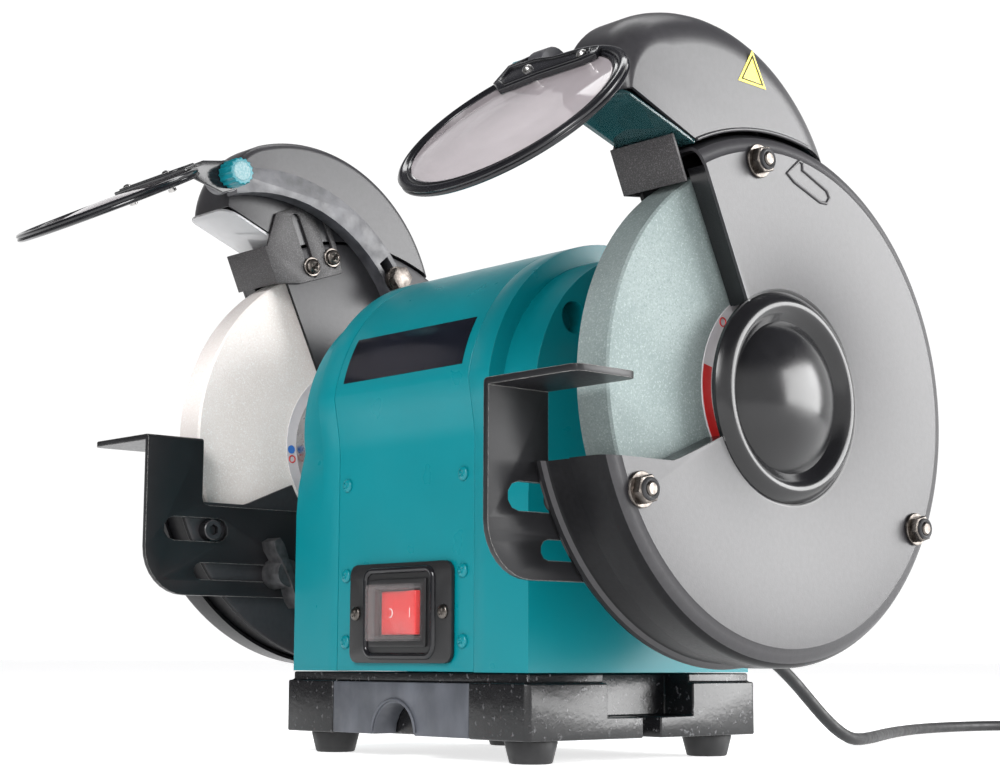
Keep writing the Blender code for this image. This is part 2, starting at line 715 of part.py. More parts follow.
def spark_plate(name, side):
    """Clear plate with round front corners under the hood's mouth."""
    tip = about_guard(roof_line(0.0)[-1], HOOD_TURN[name])
    heel = about_guard(HOOD_MOUTH, HOOD_TURN[name])
    length = math.dist(tip, heel)
    low, high = mirror_span(side, GUARD_BACK + 0.5, HOOD_OUTER - 0.5)
    round_high, round_low = (5.0, 9.0) if side > 0 else (9.0, 5.0)
    outline = ([(low, 0.0), (high, 0.0)]
               + arc((high - round_high, length - round_high), round_high, 0, 90, 4)
               + arc((low + round_low, length - round_low), round_low, 90, 180, 4))
    plate = prism(f"spark_plate_{name}", "XY", [(x, -y) for x, y in outline], -PLATE_SHEET - GAP, -GAP)
    plate.rotation_euler.x = -math.atan2(tip[1] - heel[1], heel[0] - tip[0])
    plate.location = Vector((0.0, *heel)) * MM
    place(plate, CLEAR)


# -------------------------------------------------------- tool rests

def tool_rest(name, side):
    """Bent plate: a slotted upright beside the guard and the table in front of the wheel."""
    shift = REST_SHIFT[name]
    front = REST_FRONT + shift
    back = REST_BACK + shift
    slide = empty(f"rest_slide_{name}", (0.0, front, REST_TOP), root)
    outline = ([(front, REST_TOP)] + arc((front + 24, 101.7), 24.0, 180, 270, 8)
               + arc((-50 + shift, 83.7), 6.0, -90, 0, 3) + arc((-50 + shift, 118.3), 6.0, 0, 90, 3)
               + arc((back + 4, 128.3), 4.0, 270, 180, 3) + [(back, REST_TOP)])
    near, far = mirror_span(side, *REST_PLATE)
    slots = [slot_outline(start + shift, end + shift, height, radius)
             for start, end, height, radius in (GUIDE_SLOT, CLAMP_SLOT)]
    rest = prism(f"tool_rest_{name}", "YZ", outline, near, far, slots)
    near, far = mirror_span(side, REST_PLATE[0], REST_OUTER)
    table = box("rest_table", (near, front, REST_TOP - REST_SHEET), (far, back, REST_TOP))
    outer = side * REST_OUTER * MM
    round_edges(table, 4.0, 2, lambda edge: on_face(edge, outer) and edge_height(edge) > 1)
    join(rest, table)
    bend = box("bend_corner", (side * REST_PLATE[0] - 4, front - 5, REST_TOP - 2),
               (side * REST_PLATE[0] + 4, back + 5, REST_TOP + 2))
    curve = cylinder("bend_curve", "Y", front - 6, back + 6, 2.0,
                     (side * (REST_PLATE[0] + 2), REST_TOP - 2))
    beyond = box("bend_beyond", (side * (REST_PLATE[0] + 2), front - 7, REST_TOP - 5),
                 (side * (REST_PLATE[0] + 10), back + 7, REST_TOP + 5))
    cut(bend, curve)
    cut(bend, beyond)
    cut(rest, bend)
    place(rest, BLACK_COAT, slide)


def wing_bolt(name, side):
    """Cast wing screw that clamps a tool rest."""
    y, z = CLAMP_BOLT
    axis = empty(f"wing_axis_{name}", (side * 120.0, y, z), root)
    bolt = cylinder(f"wing_bolt_{name}", "X", side * 116.0, side * (REST_PLATE[0] - GAP), 7.2,
                    (y, z), SMALL, 8.4)
    outline = [(-4, -1.8), (-15, -3.2), (-19.5, -2.2), (-19.5, 2.2), (-15, 3.2), (-4, 1.8),
               (4, 1.8), (15, 3.2), (19.5, 2.2), (19.5, -2.2), (15, -3.2), (4, -1.8)]
    lean = math.radians(118.0)
    turned_outline = [(y + a * math.cos(lean) - b * math.sin(lean),
                       z + a * math.sin(lean) + b * math.cos(lean)) for a, b in outline]
    near, far = mirror_span(side, 114.5, 126.0)
    join(bolt, prism("wings", "YZ", turned_outline, near, far))
    join(bolt, cylinder("wing_shank", "X", side * 120, side * 139, 3.9, (y, z), HOLE))
    place(bolt, STEEL, axis)


# ----------------------------------------------------- spark arresters

def arrester_point(across, along):
    """A point in the arrester's own slanted axes, from its lower screw."""
    lean = math.radians(ARRESTER_LEAN)
    return (ARRESTER_SCREW[0] + across * math.cos(lean) - along * math.sin(lean),
            ARRESTER_SCREW[1] + across * math.sin(lean) + along * math.cos(lean))


def spark_arrester(name, side):
    """Slotted flange on the guard's back plate with a lip across the wheel's rim."""
    slide = empty(f"arrester_slide_{name}", (0.0, *ARRESTER_SCREW), root)
    flange = [(-26, -2), (-10.6, -6.5), (19.4, -9), (21, 4), (21, 34), (-12, 34), (-24, 19), (-26, 19)]
    slots = []
    for across, along in ((0.0, -3.5), (15.3, -2.5)):
        ends = slot_outline(along, 28.0, -across, 2.7, 4)
        slots.append([arrester_point(-b, a) for a, b in ends])
    near, far = mirror_span(side, *ARRESTER_PLATE)
    made = prism(f"spark_arrester_{name}", "YZ", [arrester_point(*p) for p in flange],
                 near, far, slots)
    near, far = mirror_span(side, ARRESTER_PLATE[0], 168.0)
    lip = [(-26, -2), (-24.5, -2), (-24.5, 19), (-26, 19)]
    join(made, prism("arrester_lip", "YZ", [arrester_point(*p) for p in lip], near, far))
    place(made, BLACK_COAT, slide)


# ------------------------------------------------------------- eye shields

def shield_arm(name, side):
    """Curved arm with a slot for its bolt and a hole for the knob."""
    bolt = polar(ARM_BOLT_ANGLE, ARM_RADIUS, ARM_CENTRE)
    axis = empty(f"arm_axis_{name}", (side * 125.0, *bolt), root)
    start, end = ARM_ANGLES
    outline = arc(ARM_CENTRE, ARM_RADIUS + ARM_HALF, start, end, 13)
    outline += arc(ARM_CENTRE, ARM_RADIUS - ARM_HALF, end, start, 13)
    heel = polar(start, ARM_RADIUS, ARM_CENTRE)
    outline += arc(heel, ARM_HALF, start + 180, start + 360, 6)[1:-1]
    slot = (arc(ARM_CENTRE, ARM_RADIUS + 3.5, ARM_BOLT_ANGLE, 42, 3)
            + arc(ARM_CENTRE, ARM_RADIUS - 3.5, 42, ARM_BOLT_ANGLE, 3)
            + arc(bolt, 3.5, ARM_BOLT_ANGLE + 180, ARM_BOLT_ANGLE + 360, 6)[1:-1])
    near, far = mirror_span(side, *ARM_PLATE)
    arm = prism(f"shield_arm_{name}", "YZ", outline, near, far, [slot])
    join(arm, cylinder("arm_eye", "X", side * ARM_PLATE[0], side * ARM_PLATE[1], 8.6, LENS_PIVOT, MEDIUM))
    cut(arm, cylinder("arm_hole", "X", side * (ARM_PLATE[0] - 5), side * (ARM_PLATE[1] + 5), 3.4,
                      LENS_PIVOT, HOLE))
    place(arm, BLACK_COAT, axis)
    return axis


def arm_bolt(name, side):
    """Hex bolt that holds a shield arm to the guard."""
    centre = polar(ARM_BOLT_ANGLE, ARM_RADIUS, ARM_CENTRE)
    near, far = mirror_span(side, 113.5, 118.6)
    bolt = prism(f"arm_bolt_{name}", "YZ", arc(centre, 6.9, 10, 310, 5), near, far)
    join(bolt, cylinder("arm_washer", "X", side * 118, side * (ARM_PLATE[0] - GAP), 7.2, centre, SMALL))
    join(bolt, cylinder("arm_shank", "X", side * 117, side * 138, 3.0, centre, HOLE))
    place(bolt, STEEL)


def lens_spot(reach, rise):
    """A point in the untilted lens plane, forward of and above the pivot."""
    return LENS_PIVOT[0] - reach, LENS_PIVOT[1] + rise


def lens_frame(name, side, arm_axis):
    """Oval frame with its riveted tab and the lug that the knob clamps."""
    local = Vector((side * LUG_PLATE[0], *LENS_PIVOT)) - arm_axis.location / MM
    axis = empty(f"lens_axis_{name}", local, arm_axis)
    axis.rotation_euler.x = math.radians(LENS_TILT[name])
    centre = (side * LENS_X, LENS_PIVOT[0] - LENS_REACH)
    level = LENS_PIVOT[1] + LENS_RISE
    frame = prism(f"lens_frame_{name}", "XY", ellipse(FRAME_AXES, centre),
                  level - FRAME_THICK / 2, level + FRAME_THICK / 2,
                  [ellipse(OPENING_AXES, centre)])
    rear = LENS_PIVOT[0] - 13.0
    tab_outline = [(LUG_PLATE[0], rear), (137, rear), (153, rear - 5), (181, rear - 9.5),
                   (183, rear - 16), (176, rear - 17.5), (150, rear - 17.5), (128, rear - 20),
                   (LUG_PLATE[0], rear - 12)]
    tab = prism("lens_tab", "XY", [(side * x, y) for x, y in tab_outline], level + 1.5, level + 4.2)
    near, far = mirror_span(side, *LUG_PLATE)
    lug_outline = (arc(LENS_PIVOT, 8.0, -90, 60, 6)
                   + [lens_spot(12.0, LENS_RISE + 4.2), lens_spot(25.0, LENS_RISE + 4.2),
                      lens_spot(22.0, 6.0), lens_spot(8.0, -7.0)])
    lug = prism("lens_lug", "YZ", lug_outline, near, far, [arc(LENS_PIVOT, 3.4, 0, 330, 11)])
    lens = prism(f"lens_{name}", "XY", ellipse((OPENING_AXES[0] - GAP, OPENING_AXES[1] - GAP), centre),
                 level - 1.2, level + 1.2)
    shift = Matrix.Translation(-(Vector((side * LUG_PLATE[0], *LENS_PIVOT)) * MM))
    for piece in (frame, tab, lug, lens):
        piece.data.transform(shift)
        piece.parent = axis
    join(frame, tab)
    join(frame, lug)
    paint_and_link(frame, GLOSS_BLACK)
    paint_and_link(lens, CLEAR)


def shield_knob(name, side, arm_axis):
    """Fluted knob whose screw clamps the lens lug to the arm."""
    local = Vector((side * 110.0, *LENS_PIVOT)) - arm_axis.location / MM
    axis = empty(f"knob_axis_{name}", local, arm_axis)
    flutes = []
    for step in range(30):
        radius = 7.4 if step % 3 else 6.6
        flutes.append(polar(360 / 30 * step, radius, LENS_PIVOT))
    near, far = mirror_span(side, 106.6, LUG_PLATE[0] - GAP)
    knob = prism(f"shield_knob_{name}", "YZ", flutes, near, far)
    shank = cylinder("knob_shank", "X", side * 114, side * 130.0, 3.0, LENS_PIVOT, HOLE)
    shift = Matrix.Translation(-(Vector((side * 110.0, *LENS_PIVOT)) * MM))
    for piece in (knob, shank):
        piece.data.transform(shift)
        piece.parent = axis
    join(knob, shank)
    paint_and_link(knob, KNOB_TEAL)


# ------------------------------------------------------------------- switch

def switch():
    """Bezel with the switch body behind it, the rocker, and a clear dust cap."""
    front = HOUSING_FRONT - GAP
    outline = rounded_box((-BEZEL_HALF[0], SWITCH_Z - BEZEL_HALF[1]),
                          (BEZEL_HALF[0], SWITCH_Z + BEZEL_HALF[1]), 5.0)
    bezel = prism("switch_bezel", "XZ", outline, front - 2.2, front)
    body = box("switch_body", (-WINDOW_HALF[0], front - 1, SWITCH_Z - WINDOW_HALF[1]),
               (WINDOW_HALF[0], front + 30, SWITCH_Z + WINDOW_HALF[1]))
    join(bezel, body)
    reach = (ROCKER_HALF[0] + 1.6, ROCKER_HALF[1] + 0.7)
    cut(bezel, box("rocker_well", (-reach[0], front - 6, SWITCH_Z - reach[1]),
                   (reach[0], front + 12, SWITCH_Z + reach[1])))
    place(bezel, GLOSS_BLACK)

    pivot = empty("rocker_axis", (0.0, ROCKER_PIVOT_Y, SWITCH_Z), root)
    pivot.rotation_euler.z = math.radians(ROCKER_TILT)
    side = [(-ROCKER_HALF[0], -5.4), (0, -3.2), (ROCKER_HALF[0], -5.4), (ROCKER_HALF[0], 1.0),
            (5, 5.0), (-5, 5.0), (-ROCKER_HALF[0], 1.0)]
    rocker = prism("switch_rocker", "XY", side, -ROCKER_HALF[1], ROCKER_HALF[1])
    rocker.parent = pivot
    paint_and_link(rocker, RED_PLASTIC)

    plate = front - 2.2 - GAP
    cap_low = (-ROCKER_HALF[0] - 3, plate - 5.5, SWITCH_Z - ROCKER_HALF[1] - 3)
    cap_high = (ROCKER_HALF[0] + 3, plate, SWITCH_Z + ROCKER_HALF[1] + 3)
    cap = box("switch_cap", cap_low, cap_high)
    round_edges(cap, 1.8, 2, lambda edge: min(v.co.y for v in edge.verts) < (plate - 5) * MM)
    cut(cap, box("cap_hollow", (cap_low[0] + 1, cap_low[1] + 1, cap_low[2] + 1),
                 (cap_high[0] - 1, cap_high[1] + 3, cap_high[2] - 1)))
    place(cap, CLEAR)


# --------------------------------------------------------------- mains lead

def smooth_route(points, spacing):
    """Points about one spacing apart on a smooth curve through the given ones."""
    knots = [Vector(point) for point in points]
    ends = [2 * knots[0] - knots[1]] + knots + [2 * knots[-1] - knots[-2]]
    fine = []
    for a, b, c, d in zip(ends, ends[1:], ends[2:], ends[3:]):
        steps = max(1, round((c - b).length / spacing))
        for step in range(steps):
            t = step / steps
            fine.append(0.5 * (2 * b + (c - a) * t + (2 * a - 5 * b + 4 * c - d) * t ** 2
                               + (3 * b - a - 3 * c + d) * t ** 3))
    return fine + [knots[-1]]


def mains_lead():
    relief = cylinder("strain_relief", "Y", HOUSING_REAR + GAP, HOUSING_REAR + 8, 9.0,
                      (CORD_EXIT[0], CORD_EXIT[2]), 6)
    join(relief, cylinder("relief_taper", "Y", HOUSING_REAR + 7, CORD_EXIT[1] - GAP, 6.6,
                          (CORD_EXIT[0], CORD_EXIT[2]), SMALL, 4.6))
    place(relief, RUBBER)

    curve = bpy.data.curves.new("cord", "CURVE")
    curve.dimensions = "3D"
    curve.bevel_depth = CORD_RADIUS * MM
    curve.bevel_resolution = 2
    curve.use_fill_caps = True
    route = smooth_route(CORD_ROUTE, 2.3 * CORD_RADIUS * 2)
    spline = curve.splines.new("POLY")
    spline.points.add(len(route) - 1)
    for point, spot in zip(spline.points, route):
        point.co = (*(spot * MM), 1.0)
    place(bpy.data.objects.new("cord", curve), RUBBER)

    inner = COIL_RADIUS - COIL_WIDTH / 2
    outer = COIL_RADIUS + COIL_WIDTH / 2
    low = CORD_RADIUS * 0.1
    ring = [(outer - 3, low + COIL_HEIGHT), (outer, low + COIL_HEIGHT - 3), (outer, low + 3),
            (outer - 3, low), (inner + 3, low), (inner, low + 3), (inner, low + COIL_HEIGHT - 3),
            (inner + 3, low + COIL_HEIGHT)]
    coil = turned("cord_coil", ring, 1, MEDIUM, True)
    coil.rotation_euler = (0.0, 0.0, 0.0)
    coil.location = Vector((*COIL_CENTRE, 0.0)) * MM
    place(coil, RUBBER)

    place(mains_plug(), RUBBER)


def mains_plug():
    """Moulded two-pin plug lying beside the coil, its tail against the outer turn."""
    x, y, z = PLUG_TAIL
    plug = cylinder("plug", "X", x, x + 24, 4.4, (y, z), HOLE, 7.4)
    join(plug, cylinder("plug_body", "X", x + 22, x + 50, 12.4, (y, z), SMALL, 13.2))
    for step in (-9.5, 9.5):
        join(plug, cylinder("plug_pin", "X", x + 48, x + 69, 2.4, (y + step, z), 8))
    return plug


def build():
    base_casting()
    base_insert()
    feet()
    body_shell()
    motor()
    bearings()
    rotor()
    switch()
    for name, side in SIDES.items():
        end_bell(name, side)
        guard_body(name, side)
        guard_cover(name, side)
        cover_nuts(name, side)
        hood(name, side)
        spark_plate(name, side)
        tool_rest(name, side)
        wing_bolt(name, side)
        spark_arrester(name, side)
        arm_axis = shield_arm(name, side)
        arm_bolt(name, side)
        lens_frame(name, side, arm_axis)
        shield_knob(name, side, arm_axis)
    mains_lead()


build()
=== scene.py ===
"""Looks of the bench grinder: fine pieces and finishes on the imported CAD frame.

Sizes are in millimetres in the machine's own layout, which part.py shares: X
runs along the wheel shaft, Y is counted from the shaft towards the rear and Z
up from the floor.  The helpers turn them into metres in the frame's place.
"""
import math

import bmesh
import bpy
from mathutils import Matrix, Vector

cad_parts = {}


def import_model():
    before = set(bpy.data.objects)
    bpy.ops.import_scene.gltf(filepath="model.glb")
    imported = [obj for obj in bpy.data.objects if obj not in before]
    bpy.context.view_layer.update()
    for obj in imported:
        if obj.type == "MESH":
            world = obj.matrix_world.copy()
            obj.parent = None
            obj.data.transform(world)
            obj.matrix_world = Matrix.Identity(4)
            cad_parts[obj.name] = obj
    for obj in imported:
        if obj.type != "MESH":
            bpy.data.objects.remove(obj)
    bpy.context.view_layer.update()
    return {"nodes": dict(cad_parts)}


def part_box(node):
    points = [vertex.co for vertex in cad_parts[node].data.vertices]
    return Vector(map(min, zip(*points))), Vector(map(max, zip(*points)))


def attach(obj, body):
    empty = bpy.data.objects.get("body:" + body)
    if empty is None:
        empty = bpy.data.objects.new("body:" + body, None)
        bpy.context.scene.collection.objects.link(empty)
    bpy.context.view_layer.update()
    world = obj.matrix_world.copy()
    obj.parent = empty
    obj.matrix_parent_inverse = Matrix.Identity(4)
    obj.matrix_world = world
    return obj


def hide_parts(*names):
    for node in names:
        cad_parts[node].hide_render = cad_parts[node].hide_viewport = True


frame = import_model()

MM = 0.001
SIDES = {"left": -1, "right": 1}
BLACK = (0.0, 0.0, 0.0)
WHITE = (1.0, 1.0, 1.0)
shaft_low, shaft_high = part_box("rotor_shaft")
SHAFT_Y = (shaft_low.y + shaft_high.y) / 2
SHAFT_Z = (shaft_low.z + shaft_high.z) / 2 / MM

# Camera, solved from the photograph's perspective
CAMERA_PLACE = (694.78, -640.08, 45.71)
CAMERA_AZIMUTH = 48.11
CAMERA_ELEVATION = -8.21
CAMERA_ROLL = 0.0035
CAMERA_LENS = 67.65

# Housing
HOUSING_FRONT = -78.0
HOUSING_REAR = 68.0
HOUSING_BOTTOM = 40.0
ARCH_RADIUS = 83.0
RIDGE_HEIGHT = 12.0
SHELL_HALF = 50.7
SHELL_SHEET = 1.5
BAND_END = 65.0
BOSS_END = 87.0
BOSS_RADIUS = 74.0
HUB_END = 96.0
HUB_RADIUS = 27.0
POST_RADIUS = 62.0
POST_ANGLES = (-90.0, 0.0, 66.0)
VENT_SPOTS = ((-49.5, SHAFT_Z + 39), (49.5, SHAFT_Z + 39))

# Wheels, guards and hoods
WHEEL_RADIUS = 102.5
WHEEL_INNER = 142.0
WHEEL_OUTER = 161.0
BLOTTER_RADIUS = 46.0
BLOTTER_SHEET = 0.5
FLANGE_RADIUS = 40.0
GUARD_CENTRE = (-5.3, 159.2)
GUARD_BACK = 133.0
GUARD_FACE = 175.0
GUARD_RADIUS = 117.0
GUARD_SHEET = 1.6
WALL_END = 158.0
LIP_DEPTH = 21.0
GUARD_BORE = 47.5
STUD_RADIUS = 104.0
STUD_ANGLES = (99.9, 206.3, 329.3)
GUIDE_STUD = (-101.5, 111.6)
GUIDE_STUD_END = 126.9
OPENING_FLOOR = 126.2
HOOD_CENTRE = (-45.0, 235.0)
HOOD_RADIUS = 91.8
NOSE_RADIUS = 36.0
NOSE_START = 112.0
NOSE_END = 191.0
NOSE_FADE = 0.75
HOOD_OUTER = 171.0
HOOD_LIP = 119.0
HOOD_MOUTH = (-58.0, 265.8)
HOOD_TURN = {"left": -3.5, "right": 0.0}
HOOD_ROUNDING = {"inner": 4.0, "outer": 18.0}

# Spark arresters and eye shields
ARRESTER_SCREWS = ((-39.0, 259.7), (-25.4, 266.8))
ARRESTER_INNER = 131.2
LENS_PIVOT = (-102.5, 298.0)
LENS_X = 150.0
LENS_REACH = 57.0
LENS_RISE = 8.0
LENS_HALF = 1.2
LENS_SWELL = 2.2
LENS_TILT = {"left": 28.0, "right": 48.0}
FRAME_AXES = (60.0, 45.3)
OPENING_AXES = (53.6, 38.9)
LUG_PLATE = (118.9, 120.9)

# Switch
SWITCH_Z = 67.4
BEZEL_FACE = -80.5
ROCKER_TILT = -8.0
WINDOW_HALF = (23.6, 18.6)
CAP_HALF = (18.5, 13.3)

# Mains lead; the route repeats the CAD's, the coil's turns follow it
CORD_DIAMETER = 6.5
CORD_ROUTE = [
    (45.0, 108.3, 52.0),
    (45.2, 117.0, 51.6),
    (46.0, 127.5, 48.9),
    (48.0, 139.0, 42.2),
    (51.0, 150.5, 31.8),
    (54.0, 161.5, 20.4),
    (56.0, 173.0, 10.8),
    (56.0, 186.0, 4.9),
    (52.0, 201.0, 3.6),
    (42.0, 224.0, 3.6),
    (27.0, 252.0, 3.6),
    (10.0, 284.0, 3.6),
    (-7.0, 320.0, 3.6),
    (-21.0, 358.0, 3.6),
    (-29.0, 398.0, 3.6),
    (-28.0, 436.0, 3.6),
    (-15.0, 470.0, 3.6),
    (9.0, 496.0, 3.6),
    (40.0, 510.0, 3.6),
    (72.0, 513.7, 3.6),
]
COIL_CENTRE = (101.0, 464.4)
COIL_TURNS = 6
COIL_RADII = (49.3, 42.5, 35.9, 29.3, 29.3, 35.9, 42.5)
COIL_LEVELS = (3.6, 10.2)
PLUG_APPROACH = [(108.0, 508.4, 11.6), (117.0, 510.0, 12.9)]
PLUG_TAIL = (128.0, 510.3, 13.6)


def world(x, y, z):
    """A point of the machine's layout, in metres in the frame."""
    return Vector((x * MM, y * MM + SHAFT_Y, z * MM))


def add_object(name, data, y=0.0):
    made = bpy.data.objects.new(name, data)
    made.location.y = y
    bpy.context.scene.collection.objects.link(made)
    return made


def mesh_from(name, bm):
    data = bpy.data.meshes.new(name)
    bm.to_mesh(data)
    bm.free()
    return data


def add_node(tree, kind, inputs=None, **settings):
    """A shader node with its settings, and with the value or the output for each input."""
    made = tree.nodes.new(kind)
    for setting, value in settings.items():
        setattr(made, setting, value)
    for socket, value in (inputs or {}).items():
        if isinstance(value, bpy.types.NodeSocket):
            tree.links.new(value, made.inputs[socket])
        else:
            made.inputs[socket].default_value = value
    return made


def add_ramp(tree, value, low, high, start, end):
    """A colour that goes from low to high as the value passes start to end."""
    ramp = add_node(tree, "ShaderNodeValToRGB", {"Fac": value})
    for element, position, colour in zip(ramp.color_ramp.elements, (start, end), (low, high)):
        element.position = position
        element.color = (*colour, 1.0)
    return ramp.outputs["Color"]


# Camera, floor, light

def add_camera():
    """The photograph's viewpoint: low, from the user's right, looking a little up."""
    azimuth = math.radians(CAMERA_AZIMUTH)
    elevation = math.radians(CAMERA_ELEVATION)
    level = math.cos(elevation)
    back = Vector((math.sin(azimuth) * level, -math.cos(azimuth) * level, math.sin(elevation)))
    right = (-back).cross(Vector((0, 0, 1))).normalized()
    up = right.cross(-back)
    across = right * math.cos(CAMERA_ROLL) + up * math.sin(CAMERA_ROLL)
    upright = up * math.cos(CAMERA_ROLL) - right * math.sin(CAMERA_ROLL)
    data = bpy.data.cameras.new("view_from_user")
    data.sensor_width = 36.0
    data.lens = CAMERA_LENS
    data.clip_start = 0.02
    camera = add_object("view_from_user", data)
    turn = Matrix((across, upright, back)).transposed().to_4x4()
    camera.matrix_world = Matrix.Translation(world(*CAMERA_PLACE)) @ turn
    bpy.context.scene.camera = camera


def add_floor():
    """A wide pale floor that glows a little, so that it runs out into the white screens."""
    bm = bmesh.new()
    bmesh.ops.create_circle(bm, cap_ends=True, radius=40.0, segments=96)
    floor = add_object("floor", mesh_from("floor", bm))
    paint = bpy.data.materials.new("floor_paint")
    paint.use_nodes = True
    inputs = paint.node_tree.nodes["Principled BSDF"].inputs
    inputs["Base Color"].default_value = (0.85, 0.85, 0.85, 1.0)
    inputs["Roughness"].default_value = 0.9
    inputs["Emission Color"].default_value = (*WHITE, 1.0)
    inputs["Emission Strength"].default_value = 0.72
    floor.data.materials.append(paint)


def add_world():
    """Bright behind the grinder and to its right, darker overhead and in front of it."""
    sky = bpy.data.worlds.new("studio")
    sky.use_nodes = True
    tree = sky.node_tree
    direction = add_node(tree, "ShaderNodeTexCoord").outputs["Generated"]
    height = add_node(tree, "ShaderNodeSeparateXYZ", {0: direction}).outputs["Z"]
    tone = add_ramp(tree, height, (1.05, 1.05, 1.05), (0.1, 0.1, 0.11), 0.37, 0.6)
    side = add_node(tree, "ShaderNodeVectorMath", {0: direction, 1: (0.74, 0.67, 0.0)},
                    operation="DOT_PRODUCT")
    inputs = {"Value": side.outputs["Value"], "From Min": -0.8, "From Max": -0.45, "To Min": 0.12}
    shade = add_node(tree, "ShaderNodeMapRange", inputs).outputs["Result"]
    shaded = add_node(tree, "ShaderNodeVectorMath", {0: tone, "Scale": shade}, operation="SCALE")
    background = tree.nodes["Background"]
    background.inputs["Strength"].default_value = 1.0
    tree.links.new(shaded.outputs["Vector"], background.inputs["Color"])
    bpy.context.scene.world = sky
    bpy.context.scene.view_settings.view_transform = "Standard"


def add_light(name, place, aim, size, power, stretch=1.0):
    data = bpy.data.lights.new(name, "AREA")
    data.shape = "RECTANGLE"
    data.size = size
    data.size_y = size * stretch
    data.energy = power
    lamp = add_object(name, data)
    lamp.location = place
    lamp.rotation_euler = (Vector(aim) - Vector(place)).to_track_quat("-Z", "Y").to_euler()


def add_lights():
    aim = (0.0, 0.0, 0.17)
    add_light("rear_right_softbox", (2.0, 1.75, 0.75), aim, 2.2, 92.0, 0.6)
    add_light("front_softbox", (1.0, -2.0, 1.3), aim, 0.9, 42.0)
    add_light("top_strip", (-0.4, 0.5, 1.9), aim, 1.4, 8.0, 0.25)


# Shape helpers

def piece_from(name, bm):
    """A linked object from a bmesh laid out in millimetres."""
    bmesh.ops.scale(bm, vec=(MM, MM, MM), verts=bm.verts)
    bmesh.ops.recalc_face_normals(bm, faces=bm.faces)
    return add_object(name, mesh_from(name, bm), SHAFT_Y)


def settle(obj):
    """Apply an object's modifiers, or turn a curve into a mesh."""
    depsgraph = bpy.context.evaluated_depsgraph_get()
    data = bpy.data.meshes.new_from_object(obj.evaluated_get(depsgraph))
    if obj.type == "MESH":
        obj.modifiers.clear()
        obj.data = data
        return obj
    name = obj.name
    made = add_object(name + "_mesh", data)
    made.matrix_world = obj.matrix_world
    bpy.data.objects.remove(obj)
    made.name = name
    return made


def combine(target, other, operation):
    """Boolean two objects and drop the second one."""
    step = target.modifiers.new("combine", "BOOLEAN")
    step.operation = operation
    step.solver = "EXACT"
    step.object = other
    settle(target)
    bpy.data.objects.remove(other)
    return target


def cut(target, other):
    return combine(target, other, "DIFFERENCE")


def join(target, other):
    return combine(target, other, "UNION")


def merge(target, *others):
    """Gather loose bodies into one object, keeping their materials."""
    with bpy.context.temp_override(active_object=target, object=target,
                                   selected_objects=[target, *others],
                                   selected_editable_objects=[target, *others]):
        bpy.ops.object.join()
    return target


def smooth(obj, angle=32.0):
    obj.data.shade_smooth()
    obj.data.set_sharp_from_angle(angle=math.radians(angle))
    return obj


def soften(bm, width, segments, sharper, chosen=None):
    """Round the edges sharper than an angle, or those of them that the test picks."""
    edges = [edge for edge in bm.edges if len(edge.link_faces) == 2
             and edge.calc_face_angle() > math.radians(sharper)
             and (chosen is None or chosen(edge))]
    bmesh.ops.bevel(bm, geom=edges, offset=width * MM, segments=segments, profile=0.5,
                    affect="EDGES", clamp_overlap=True)


def round_edges(obj, width, segments, chosen):
    """Round the sharp edges of an object that the test picks."""
    bm = bmesh.new()
    bm.from_mesh(obj.data)
    soften(bm, width, segments, 32, chosen)
    bm.to_mesh(obj.data)
    bm.free()


def thicken(obj):
    """Give an open skin the thickness of the guards' sheet, inwards."""
    sheet = obj.modifiers.new("sheet", "SOLIDIFY")
    sheet.thickness = GUARD_SHEET * MM
    sheet.offset = -1.0
    return settle(obj)


def paint_faces(obj, finish, chosen):
    """Give the faces that the test picks a second finish."""
    obj.data.materials.append(finish.material)
    for face in obj.data.polygons:
        if chosen(face):
            face.material_index = len(obj.data.materials) - 1


def box(name, low, high):
    bm = bmesh.new()
    bmesh.ops.create_cube(bm, size=1.0)
    bmesh.ops.scale(bm, vec=[abs(b - a) for a, b in zip(low, high)], verts=bm.verts)
    bmesh.ops.translate(bm, vec=[(a + b) / 2 for a, b in zip(low, high)], verts=bm.verts)
    return piece_from(name, bm)


def chain(bm, points, closed):
    """New points in a bmesh and the edges that join them in a row or a ring."""
    verts = [bm.verts.new(point) for point in points]
    ends = verts[1:] + verts[:1] if closed else verts[1:]
    return verts, [bm.edges.new(pair) for pair in zip(verts, ends)]


def skin(bm, rows):
    """Faces between each row of edges and the next."""
    for first, second in zip(rows, rows[1:]):
        bmesh.ops.bridge_loops(bm, edges=first + second)


def lathe(name, profile, origin, axis, steps=96, closed=True):
    """A profile of (radius, distance) turned about an axis through the origin point."""
    bm = bmesh.new()
    verts, edges = chain(bm, [(radius, 0.0, out) for radius, out in profile], closed)
    bmesh.ops.spin(bm, geom=verts + edges, cent=(0, 0, 0), axis=(0, 0, 1), angle=2 * math.pi,
                   steps=steps, use_merge=True)
    bmesh.ops.remove_doubles(bm, verts=bm.verts, dist=0.001)
    turn = Vector((0, 0, 1)).rotation_difference(Vector(axis)).to_matrix()
    bmesh.ops.rotate(bm, cent=(0, 0, 0), matrix=turn, verts=bm.verts)
    bmesh.ops.translate(bm, vec=origin, verts=bm.verts)
    return smooth(piece_from(name, bm))


def on_shaft(name, profile, side, centre=(0.0, SHAFT_Z), **options):
    """A turned piece about the shaft's direction, its distances counted outward."""
    return lathe(name, profile, (0.0, *centre), (side, 0, 0), **options)


